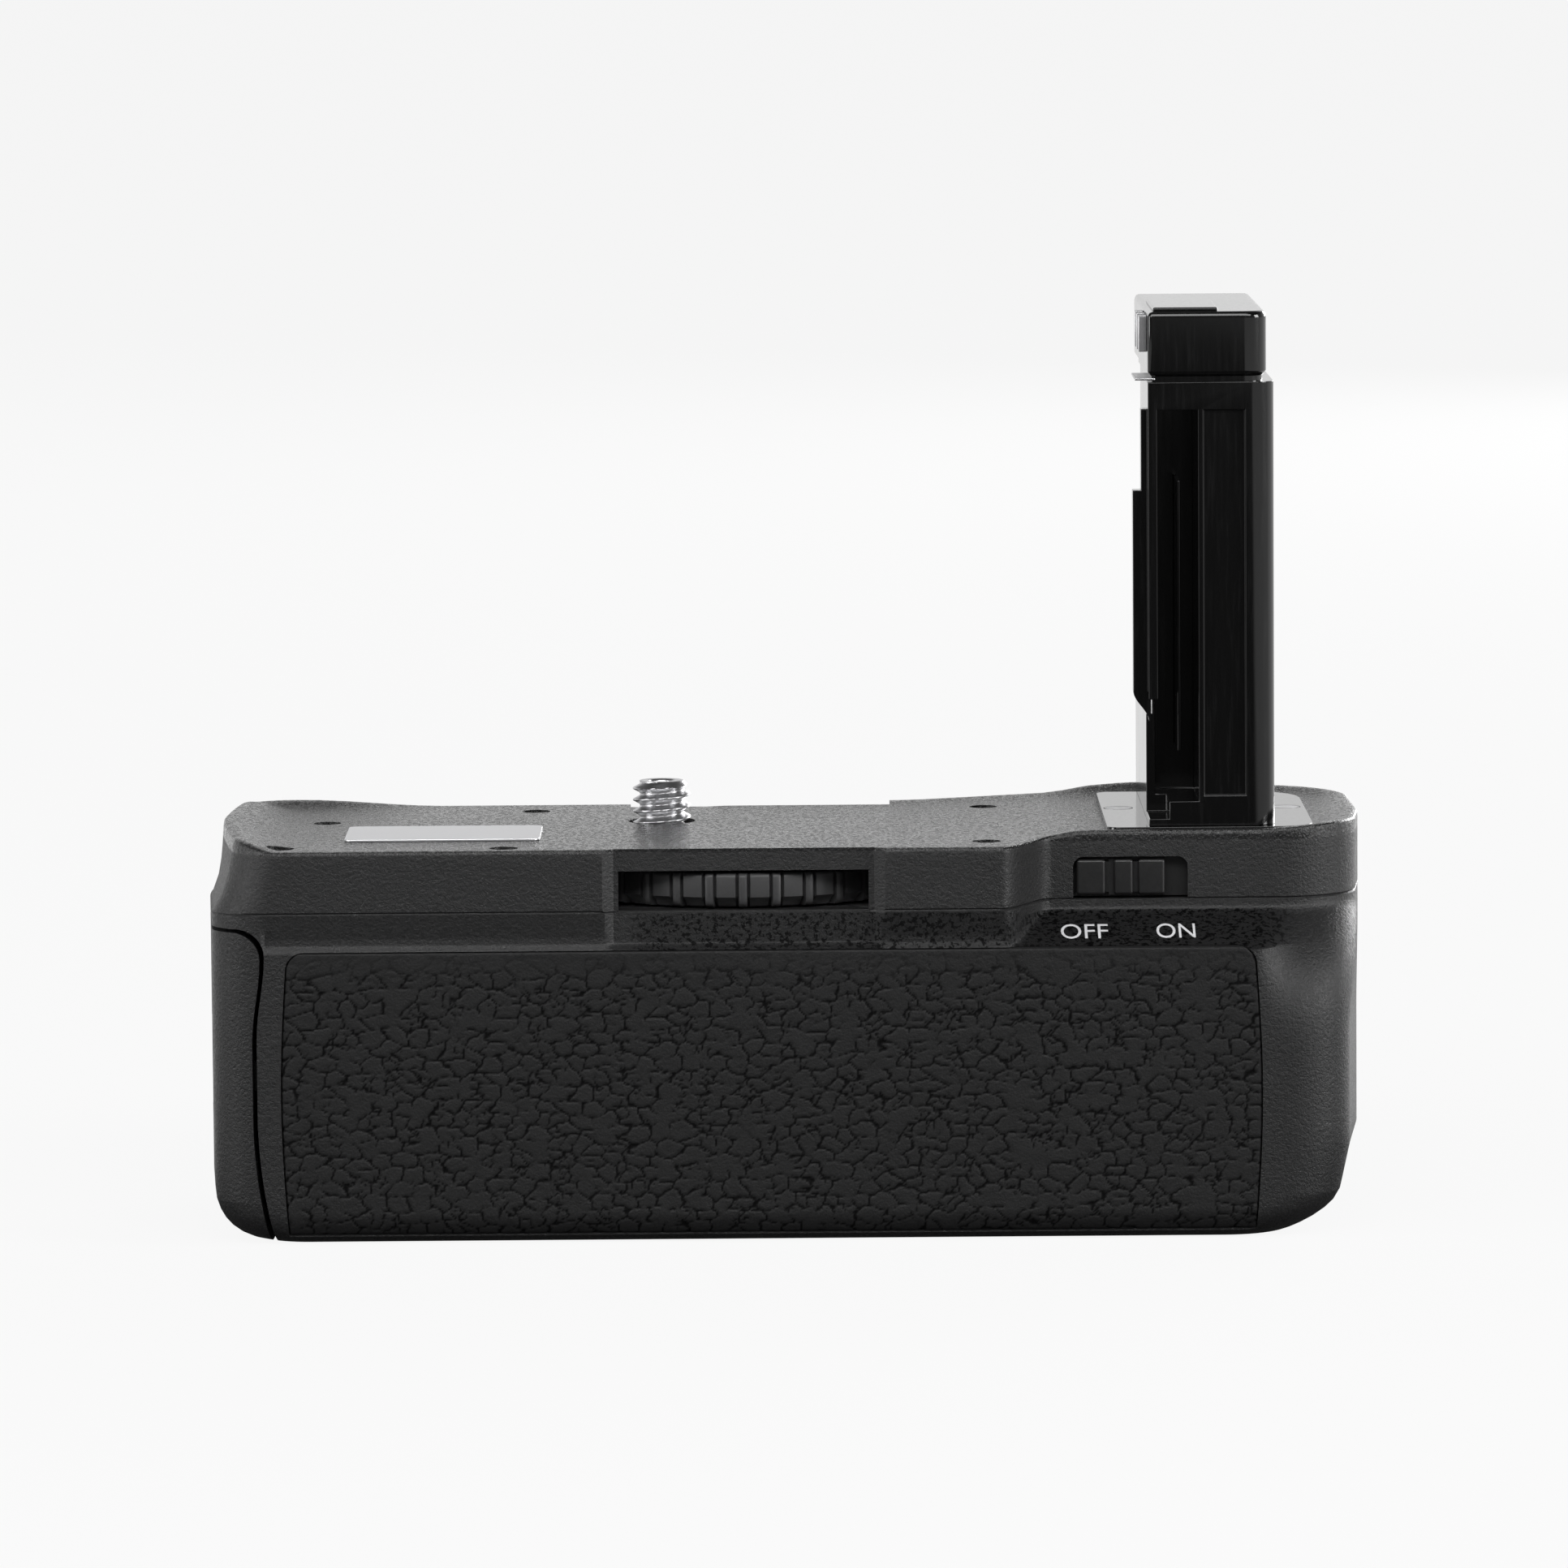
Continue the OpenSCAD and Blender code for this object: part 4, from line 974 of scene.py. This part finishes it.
# Rubber grips with a leather grain

PAD_GRID = 0.2
PAD_EDGE = 0.3
PAD_FOOT_Z = 1.1
PAD_WAVE = 0.03
CREASE_DEPTH = 0.12
CREASE_START = 0.02
CREASE_FADE = 0.14
CELL_JITTER = 0.66
# Width and height of the cells, half width of their creases, and how many of these are left out
CREASE_LAYERS = ((2.5, 1.5, 0.075, 0.3), (1.5, 1.0, 0.085, 0.52))


def scatter(seed, columns, rows):
    """Jittered points, one to a cell of a unit grid, whose borders become the creases."""
    pick = random.Random(seed)
    cells = kdtree.KDTree(columns * rows)
    for j in range(rows):
        for i in range(columns):
            x = i - 3 + 0.5 * (j % 2) + CELL_JITTER * pick.random()
            at = (x, j - 3 + CELL_JITTER * pick.random(), 0)
            cells.insert(at, j * columns + i)
    cells.balance()
    return cells


def border_distance(cells, at):
    """Distance from a place to the border of its cell."""
    near = [found[0] for found in cells.find_n(at, 5)]
    least = 1.0
    for other in near[1:]:
        least = min(least, ((near[0] + other) / 2 - at).dot((other - near[0]).normalized()))
    return least


def crease_at(layers, x, z):
    """Strength of the creases at one place of a pad: long bent lines, some of them broken."""
    bend = 0.45 * noise.noise_vector(Vector((0.3 * x, 0.42 * z, 0)))
    bend += 0.13 * noise.noise_vector(Vector((1.3 * x, 1.7 * z, 5)))
    strength = 0.0
    for k, (cells, (wide, tall, thin, least)) in enumerate(zip(layers, CREASE_LAYERS)):
        at = Vector((x / wide + bend.x, z / tall + bend.y, 0))
        line = 1 - ease((border_distance(cells, at) - CREASE_START) / (thin - CREASE_START))
        if line > 0:
            here = 0.5 + 0.5 * noise.noise(Vector((0.45 * x, 0.45 * z, 9 + 7 * k)))
            strength = max(strength, line * ease((here - least) / CREASE_FADE))
    return strength


def border_steps(low, high, count, inner):
    """Even steps between two ends, with closer steps along both borders."""
    start = low + inner[-1]
    end = high - inner[-1]
    middle = [mix(start, end, k / count) for k in range(1, count)]
    return [low + d for d in inner] + middle + [high - d for d in reversed(inner)]


def leather_pad(name, edges, low, high, skin, back, inward, seed):
    """Closed pad: a face between two edges and two heights with a rounded border, and a flat back."""
    noise.seed_set(seed)
    x0, x1 = edges((low + high) / 2)
    columns = round((x1 - x0) / PAD_GRID)
    rows = round((high - low) / PAD_GRID)
    inner = [PAD_EDGE * k / 3 for k in range(4)]
    layers = [
        scatter(seed + wide, int((x1 - x0) / wide) + 8, int((high - low) / tall) + 8)
        for wide, tall, _, _ in CREASE_LAYERS
    ]
    verts = []
    creases = []
    for z in border_steps(low, high, rows, inner):
        row_x0, row_x1 = edges(z)
        calm = mix(0.25, 1, ease((high - z) / 4))
        for x in border_steps(row_x0, row_x1, columns, inner):
            rim = max(0.0, 1 - min(x - row_x0, row_x1 - x, z - low, high - z) / PAD_EDGE)
            depth = PAD_EDGE * (1 - math.sqrt(max(0.0, 1 - rim * rim)))
            crease = calm * crease_at(layers, x - x0, z - low)
            depth += CREASE_DEPTH * crease
            depth += PAD_WAVE * (1 + noise.noise(Vector((x / 2.5, 0, z / 1.8))))
            verts.append((x, skin(x, z) + inward * depth, z))
            creases.append(crease)
    columns += 2 * len(inner) - 2
    rows += 2 * len(inner) - 2
    wide = columns + 1
    faces = [
        (j * wide + i, j * wide + i + 1, (j + 1) * wide + i + 1, (j + 1) * wide + i)
        for j in range(rows)
        for i in range(columns)
    ]
    border = list(range(columns))
    border += [j * wide + columns for j in range(rows)]
    border += [rows * wide + i for i in range(columns, 0, -1)]
    border += [j * wide for j in range(rows, 0, -1)]
    first = len(verts)
    count = len(border)
    verts += [(verts[i][0], back, verts[i][2]) for i in border]
    creases += [0.0] * count
    for k in range(count):
        n = (k + 1) % count
        faces.append((border[n], border[k], first + k, first + n))
    faces.append(tuple(reversed(range(first, first + count))))
    if inward < 0:
        faces = [tuple(reversed(f)) for f in faces]
    pad = new_object(name, verts, faces)
    layer = pad.data.attributes.new("crease", "FLOAT", "POINT")
    layer.data.foreach_set("value", creases)
    return pad


def front_line(x):
    """Front face of the hand-grip bulge: slope, shoulder, flat and corner."""
    slope = math.atan2(BULGE - FRONT, SHOULDER_X - VALLEY_X)
    reach = SHOULDER_R * math.tan(slope / 2)
    flat_x = SHOULDER_X + reach
    if x < SHOULDER_X - reach * math.cos(slope):
        return FRONT + (x - VALLEY_X) * math.tan(slope)
    if x < flat_x:
        return BULGE - SHOULDER_R + math.sqrt(SHOULDER_R**2 - (x - flat_x) ** 2)
    over = max(0.0, x - RIGHT + GRIP_R)
    return BULGE - GRIP_R + math.sqrt(GRIP_R**2 - over**2)


def make_pads():
    rear = leather_pad(
        "rear_pad", pad_edges, PAD_FOOT_Z, PAD_HIGH.z,
        lambda x, z: REAR + 0.02 + round_in(z, BASE_ROUND), REAR + PAD_T + 0.5, 1, 11,
    )
    dress(rear, leather, "body", ["rear_rubber_grip"], 60)
    front = leather_pad(
        "front_pad", lambda z: (GRIP_LOW.x + 0.2, GRIP_HIGH.x - 0.2),
        GRIP_LOW.z + 0.05, GRIP_HIGH.z - 0.05,
        lambda x, z: front_line(x) - 0.02, GRIP_LOW.y - 0.4, -1, 12,
    )
    dress(front, leather, "body", ["front_rubber_grip"], 60)


# Thumbwheel and camera screw

RIBS = 34
RIB_STEPS = 36
RIB_W = 0.42
RIB_CROWN = 0.1
PANEL_DROP = 0.14
GROOVE_DROP = 0.6
RIM_R = WHEEL_R - 2.5
THREAD_R = 3.175
PITCH = 1.27
THREAD_H = 0.61 * PITCH
# Shares of half a pitch on the thread's crest and on its flank
CREST_SHARE = 0.14
FLANK_SHARE = 0.66
TIP_CHAMFER = 0.75
SCREW_LOW, SCREW_HIGH = node_box("camera_screw")
SCREW_X, SCREW_Y, _ = box_middle("camera_screw")


def rib_drop(u):
    """How far the rim lies under its full radius, at a distance from the middle of a rib."""
    if u < RIB_W:
        return RIB_CROWN * (u / RIB_W) ** 2
    groove = ease((u - RIB_W) / 0.12) * (1 - ease((u - RIB_W - 0.22) / 0.2))
    return mix(PANEL_DROP, GROOVE_DROP, groove)


def wheel_ring(z, rib_down, panel_down):
    points = []
    total = RIBS * RIB_STEPS
    pitch = math.tau * WHEEL_R / RIBS
    for k in range(total):
        share = k % RIB_STEPS / RIB_STEPS
        u = pitch * min(share, 1 - share)
        r = WHEEL_R - rib_drop(u) - mix(rib_down, panel_down, ease((u - RIB_W) / 0.1))
        points.append(Vector((WHEEL_X, WHEEL_Y, 0)) + polar(r, k / total - 0.25, z))
    return points


def make_wheel():
    low = WHEEL_LOW.z
    high = WHEEL_HIGH.z
    foot = [(0, 1.1, 1.3), (0.1, 0.55, 1.1), (0.3, 0.2, 0.95), (0.55, 0.04, 0.75), (0.85, 0, 0.4)]
    foot += [(1.15, 0, 0), (1.25, 0, 0)]
    rings = [wheel_ring(low + up, rib, panel) for up, rib, panel in foot]
    rings += [wheel_ring(high - down, drop, drop) for down, drop in ((0.4, 0), (0.2, 0.06), (0, 0.25))]
    middle = Vector((WHEEL_X, WHEEL_Y))
    inner = [middle + (p.xy - middle).normalized() * RIM_R for p in rings[0]]
    rings += [lifted(inner, high), lifted(inner, low)]
    rim = loft("wheel_rim", rings, closed=True)
    dress(rim, wheel_rubber, "wheel", ["thumbwheel"], 50)
    core = cad_copy("wheel_core", "thumbwheel")
    below = (WHEEL_X, WHEEL_Y, low - 1)
    carve(core, [rod("keep", below, RIM_R + 0.02, high - low + 2)], "INTERSECT")
    dress(core, satin, "wheel")


def thread_ring(z, steps, depth, top):
    """One turn around a thread at a height, with a chamfer under the top."""
    points = []
    for k in range(steps):
        turn = k / steps
        phase = abs(2 * ((z / PITCH - turn) % 1) - 1)
        r = THREAD_R - depth * min(1.0, max(0.0, (1 - phase - CREST_SHARE) / FLANK_SHARE))
        r = min(r, THREAD_R - TIP_CHAMFER + (top - z))
        points.append(polar(r, turn, z))
    return points


def make_screw():
    steps = 96
    foot = PLATE - 0.6
    top = SCREW_HIGH.z
    count = 70
    rings = [plain_ring(foot, 1.2, steps)]
    for k in range(count + 1):
        rings.append(thread_ring(mix(foot, top, k / count), steps, THREAD_H, top))
    for r, drop in ((1.45, 0), (1.3, 0.12), (1.25, 0.35), (1.2, 1.4), (0.2, 1.9)):
        rings.append(plain_ring(top - drop, r, steps))
    thread = place(loft("screw_thread", rings), (SCREW_X, SCREW_Y, 0))
    dress(thread, steel, "screw", ["camera_screw"], 50)
    shank = cad_copy("screw_shank", "camera_screw")
    below = (SCREW_X, SCREW_Y, SCREW_LOW.z - 1)
    carve(shank, [rod("keep", below, 4, foot + 0.05 - SCREW_LOW.z + 1)], "INTERSECT")
    dress(shank, steel, "screw")


make_pads()
make_wheel()
make_screw()


# Post, switch and small pieces

KNOB_LOW, KNOB_HIGH = node_box("switch_knob")
# Start and end of the knob's panels, from the left
KNOB_PANELS = ((0, 3.15), (4.05, 6.15), (6.7, 9.6))
KNOB_X = SWITCH_WINDOW_X + 0.35
KNOB_BACK = 0.55
KNOB_T = 1.2
BUTTON_R = 4.0
BUTTON_CAP_T = 1.6
BUTTON_STEM_R = 1.4
BUTTON_STEM_Z = 3.7
BUTTON_DISH = 0.5
BUTTON_DISH_R = 3.4
# Post: thickness of the thin wall, heights of the trimmed side and of the flare
POST_WALL = 4.5
POST_SIDE_Z = SEAM + 19
POST_SIDE = 0.65
FLARE_Z = SEAM + 22
FLARE_STEP = 0.4
CAP_RADII = (0.5, 2.5, 1.0, 0.5)
TRIPOD_THREAD = 0.6
FOAM_STEPS = 132
FOAM_CORNER = 0.28
WORDS = (("OFF", RIGHT - 33.3, RIGHT - 28.2), ("ON", RIGHT - 23, RIGHT - 18.8))
WORD_LOW = SEAM - 3.55
WORD_HIGH = SEAM - 2.37
WORD_ROWS = 16
WORD_RISE = 0.04


def make_copies():
    """Pieces that keep their CAD form, with rounded edges."""
    for name, node, body, look, width in (
        ("post_foot", "post_flange", "body", gloss, 0.2),
        ("blades", "post_contacts", "body", steel, 0.08),
        ("label_plate", "name_plate", "body", label, 0.08),
        ("latch", "door_latch", "latch", satin, 0.15),
        ("barrel", "shutter_barrel", "body", satin, 0.3),
        ("jack", "remote_jack", "body", gloss, 0.25),
        ("cover_screws", "top_cover_screws", "body", satin, 0.1),
    ):
        piece = cad_copy(name, node)
        round_edges(piece, width)
        dress(piece, look, body, [node])


def plan_ring(low, high, radii, inset, z):
    """Rectangle with four corner radii, drawn in by an inset, at one height."""
    x0, y0 = low.x + inset, low.y + inset
    x1, y1 = high.x - inset, high.y - inset
    at = [Vector(c) for c in ((x0, y0), (x1, y0), (x1, y1), (x0, y1))]
    points = []
    for i in range(4):
        r = max(0.1, radii[i] - inset)
        points += corner_arc(at[i - 1], at[i], at[(i + 1) % 4], r)
    return lifted(points, z)


def make_post():
    """Shaft with a thin flared wall on its left, and a cap with one broad round edge."""
    low, high = node_box("post_cap")
    base = node_box("post_body")[0]
    shaft = cad_copy("post_shaft", "post_body")
    wall_y = low.y + POST_WALL
    carve(shaft, [
        block("wall_cut", (base.x - 1, wall_y, SEAM), (low.x - 0.02, high.y + 1, high.z)),
        block("side_cut", (base.x - 1, wall_y, POST_SIDE_Z), (low.x + POST_SIDE, high.y + 1, high.z)),
    ])
    tidy(shaft)
    round_edges(shaft, 0.2)
    dress(shaft, gloss, "body", ["post_body"])
    flare = [(low.x + 0.3, FLARE_Z + 0.1), (base.x, FLARE_Z + 0.1)]
    for k in range(9):
        flare.append((mix(base.x, low.x + 0.1, ease(k / 8)), FLARE_Z - FLARE_STEP * k))
    flare.append((low.x + 0.3, FLARE_Z - 8 * FLARE_STEP))
    foot = prism("post_flare", flare, low.y + 2, wall_y)
    dress(foot, gloss, "body")
    neck = low.z + 0.6
    top = high.z - 0.45
    levels = [(0.45, low.z), (0.45, neck), (0.02, neck + 0.5), (0, neck + 0.6), (0, top - 0.7)]
    levels += [(0.08, top - 0.35), (0.22, top - 0.12), (0.5, top), (0.9, top)]
    cap = loft("post_top", [plan_ring(low, high, CAP_RADII, inset, z) for inset, z in levels])
    dress(cap, gloss, "body", ["post_cap"])
    plate = rounded_block(
        "post_plate", (low.x + 0.6, low.y + 0.6, top - 0.1), (low.x + 7.6, low.y + 20, high.z), 0.2
    )
    dress(plate, gloss, "body")


def rounded_block(name, low, high, width):
    piece = block(name, low, high)
    round_edges(piece, width, 3)
    return piece


def make_knob():
    """Three raised panels of unlike width on a common slide."""
    low = KNOB_LOW.y
    slide = cad_copy("knob_slide", "switch_knob")
    trim = block(
        "trim", (KNOB_LOW.x - 5, low - 1, SEAM - 2), (KNOB_HIGH.x + 5, low + KNOB_BACK, PLATE)
    )
    carve(slide, [trim])
    dress(slide, satin, "knob", ["switch_knob"])
    for k, (start, end) in enumerate(KNOB_PANELS):
        panel = rounded_block(
            f"knob_panel_{k}",
            (KNOB_X + start, low, SEAM + 0.4),
            (KNOB_X + end, low + KNOB_T, UNDER_Z - 0.4),
            0.35,
        )
        dress(panel, satin, "knob")


def make_springs():
    """Coils of the button and the latch, copied from the CAD springs."""
    floor = button_point() - BUTTON_FLOOR * BUTTON_AXIS
    end = box_middle("latch_spring")
    end.y = node_box("latch_spring")[1].y
    for name, node, body, joint, axis, anchor, keep in (
        ("button_coil", "shutter_spring", "body", "shutter_press", BUTTON_AXIS, floor, 0.81),
        ("latch_coil", "latch_spring", "door", "latch_slide", (0, 1, 0), end, 0.65),
    ):
        coil = cad_copy(name, node)
        dress(coil, steel, body, [node])
        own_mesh(coil)


def make_button():
    at = button_point()
    top = -0.05
    under = top - BUTTON_CAP_T
    profile = [(0, top - BUTTON_STEM_Z), (BUTTON_STEM_R, top - BUTTON_STEM_Z), (BUTTON_STEM_R, under)]
    profile += [(BUTTON_R - 0.15, under), (BUTTON_R, under + 0.15), (BUTTON_R, top - 0.4)]
    profile += [(BUTTON_R - 0.12, top - 0.12), (BUTTON_R - 0.4, top)]
    for r in (3.2, 2.6, 2, 1.3, 0.6, 0):
        profile.append((r, top - BUTTON_DISH * (1 - (r / BUTTON_DISH_R) ** 2)))
    cap = place(lathe("button_cap", profile), at, BUTTON_AXIS)
    dress(cap, satin, "button", ["shutter_button"], 40)


def make_tripod():
    """Threaded insert in the base."""
    low, high = node_box("tripod_socket")
    r = (high.x - low.x) / 2
    steps = 72
    count = 90
    deep = high.z - 1
    rings = [plain_ring(low.z + 0.02, THREAD_R + TRIPOD_THREAD + 0.1, steps)]
    for k in range(count + 1):
        z = mix(0.35, deep, k / count)
        turn = thread_ring(z, steps, -TRIPOD_THREAD, z)
        points = []
        for p in turn:
            reach = max(THREAD_R, min(p.length, THREAD_R + TRIPOD_THREAD))
            points.append(Vector((p.x, p.y, 0)).normalized() * reach + Vector((0, 0, z)))
        rings.append(points)
    for z, reach in ((high.z, 1), (high.z, r), (low.z + 0.3, r), (low.z + 0.02, r - 0.3)):
        rings.append(plain_ring(z, reach, steps))
    rings.reverse()
    socket = loft("tripod_insert", rings, closed=True)
    middle = (low + high) / 2
    place(socket, (middle.x, middle.y, 0))
    dress(socket, steel, "body", ["tripod_socket"], 50)


def make_door_pad():
    """Soft pad in the door: rounded edges and a low crown towards the batteries."""
    low, high = node_box("door_pad")
    middle = (low + high) / 2
    half = (high - low) / 2
    rings = []
    levels = [(0, 0.0), (0, 0.4), (0.1, 0.6), (0.35, 0.78), (0.8, 0.9), (1.6, 0.95), (3.2, 0.98)]
    for inset, share in levels:
        points = []
        for k in range(FOAM_STEPS):
            a = math.tau * (k + 0.5) / FOAM_STEPS
            c, s = math.cos(a), math.sin(a)
            y = (half.y - inset) * math.copysign(abs(c) ** FOAM_CORNER, c)
            z = (half.z - inset) * math.copysign(abs(s) ** FOAM_CORNER, s)
            points.append(Vector((mix(low.x, high.x, share), middle.y + y, middle.z + z)))
        rings.append(points)
    crown = Vector((high.x, middle.y, middle.z))
    rings.append([crown + 0.5 * Vector((0, p.y - crown.y, p.z - crown.z)) for p in rings[-1]])
    pad = loft("battery_pad", rings)
    dress(pad, foam, "door", ["door_pad"], 60)


def make_words():
    """Plain lettering at the switch, laid on the rest under it."""
    for word, x0, x1 in WORDS:
        curve = bpy.data.curves.new("word", "FONT")
        curve.body = word
        curve.resolution_u = 4
        holder = add_object("word", curve)
        mesh = finished_mesh(holder)
        bpy.data.objects.remove(holder)
        low = [min(v.co[i] for v in mesh.vertices) for i in (0, 1)]
        high = [max(v.co[i] for v in mesh.vertices) for i in (0, 1)]
        work = bmesh.new()
        work.from_mesh(mesh)
        for k in range(1, WORD_ROWS):
            cut = (0, mix(low[1], high[1], k / WORD_ROWS), 0)
            parts = work.verts[:] + work.edges[:] + work.faces[:]
            bmesh.ops.bisect_plane(work, geom=parts, plane_co=cut, plane_no=(0, 1, 0))
        for v in work.verts:
            x = mix(x0, x1, (v.co.x - low[0]) / (high[0] - low[0]))
            z = mix(WORD_LOW, WORD_HIGH, (v.co.y - low[1]) / (high[1] - low[1]))
            v.co = (x, REAR + rear_shift(x, z) - WORD_RISE, z)
        bmesh.ops.recalc_face_normals(work, faces=work.faces)
        work.to_mesh(mesh)
        work.free()
        dress(add_object("word_" + word.lower(), mesh), ink, "body")


make_copies()
make_post()
make_knob()
make_button()
make_springs()
make_tripod()
make_door_pad()
make_words()

paint(steel, "door_hinge_pin", "latch_keeper", "wheel_axle", "gear_carrier", "carrier_screws")
paint(steel, "screw_gear", "screw_bush", "board_screws", "post_screws", "slide_switch")
paint(brass, "battery_contacts")
paint(board, "contact_board", "main_board")
paint(satin, "battery_chamber", "shutter_switch")


# Camera, light and floor


def add_camera():
    lens = bpy.data.cameras.new("camera")
    lens.sensor_width = 36
    lens.lens = 214.3
    lens.clip_start = 0.05
    lens.clip_end = 20
    camera = add_object("camera", lens)
    at = Vector((0, -1.0225, 0.1542))
    aim = Vector((0, -0.028, 0.0497))
    camera.matrix_world = (
        Matrix.Translation(at)
        @ (aim - at).to_track_quat("-Z", "Y").to_matrix().to_4x4()
        @ Matrix.Rotation(math.radians(-0.45), 4, "Z")
    )
    bpy.context.scene.camera = camera


def add_lamp(name, at, wide, tall, power):
    lamp = bpy.data.lights.new(name, "AREA")
    lamp.shape = "RECTANGLE"
    lamp.size = wide
    lamp.size_y = tall
    lamp.energy = power
    piece = add_object(name, lamp)
    piece.visible_camera = False
    piece.location = at
    piece.rotation_euler = (LAMP_AIM - Vector(at)).to_track_quat("-Z", "Y").to_euler()


BACKDROP = 0.94
FLOOR_GLOW = 0.905
SHOWN_RAYS = ("Is Camera Ray", "Is Transmission Ray")
WHITE = (1, 1, 1, 1)
# Name, place, width, height and power of each lamp
LAMPS = (
    ("front_box", (0, -1.0, 0.85), 1.8, 0.4, 14),
    ("left_box", (-1.05, -0.35, 0.35), 0.4, 0.5, 5),
    ("right_box", (1.05, -0.35, 0.35), 0.4, 0.5, 8),
    ("back_box", (0.65, 1.2, 0.3), 0.8, 0.4, 12),
)
LAMP_AIM = Vector((0, 0, 0.03))


def add_world():
    """Pale backdrop; its light is strong low behind the object, weak above and before it."""
    world = bpy.data.worlds.new("studio")
    bpy.context.scene.world = world
    world.use_nodes = True
    world.node_tree.nodes.clear()
    sky = Nodes(world.node_tree)
    toward = sky.node("SeparateXYZ", Vector=sky.node("TexCoord").outputs["Generated"])
    behind = sky.band(toward.outputs["Y"], -0.1, 0.7, 0.16, BACKDROP)
    low = sky.band(toward.outputs["Z"], 0.25, 0.55, 1, 0.1)
    shade = sky.node("Background", Color=WHITE, Strength=sky.sum(behind, low, "MULTIPLY"))
    plain = sky.node("Background", Color=WHITE, Strength=BACKDROP)
    sky.node("OutputWorld", Surface=sky.swap(SHOWN_RAYS, shade.outputs[0], plain.outputs[0]))


def add_floor():
    """Pale floor that keeps a faint shadow; mirrors see it fade towards the camera's side."""
    floor = block("floor", (-12000, -12000, -30), (12000, 12000, -0.05))
    floor.data.transform(Matrix.Scale(MM, 4))
    look = Look("pale_floor", grey(0.3), 0.9, Specular_IOR_Level=0.0)
    split = look.node("SeparateXYZ", Vector=look.place())
    behind = look.band(split.outputs["Y"], -0.01, 0.06, 0.05, BACKDROP)
    beside = look.band(look.sum(split.outputs["X"], 0.0, "ABSOLUTE"), 0.14, 0.3, 0.05, 0.7)
    mirrored = look.node("Emission", Strength=look.sum(behind, beside, "MAXIMUM"))
    glow = look.node("Emission", Strength=FLOOR_GLOW)
    dim = look.node("BsdfDiffuse", Color=(0.05, 0.05, 0.05, 1))
    shown = look.node("AddShader")
    look.feed(shown.inputs[0], glow.outputs[0])
    look.feed(shown.inputs[1], dim.outputs[0])
    surface = look.swap(["Is Glossy Ray"], look.shader.outputs[0], mirrored.outputs[0])
    surface = look.swap(SHOWN_RAYS, surface, shown.outputs[0])
    look.feed(look.tree.nodes["Material Output"].inputs["Surface"], surface)
    floor.data.materials.append(look.material)


add_camera()
add_world()
add_floor()
for row in LAMPS:
    add_lamp(*row)
bpy.context.scene.view_settings.view_transform = "Standard"
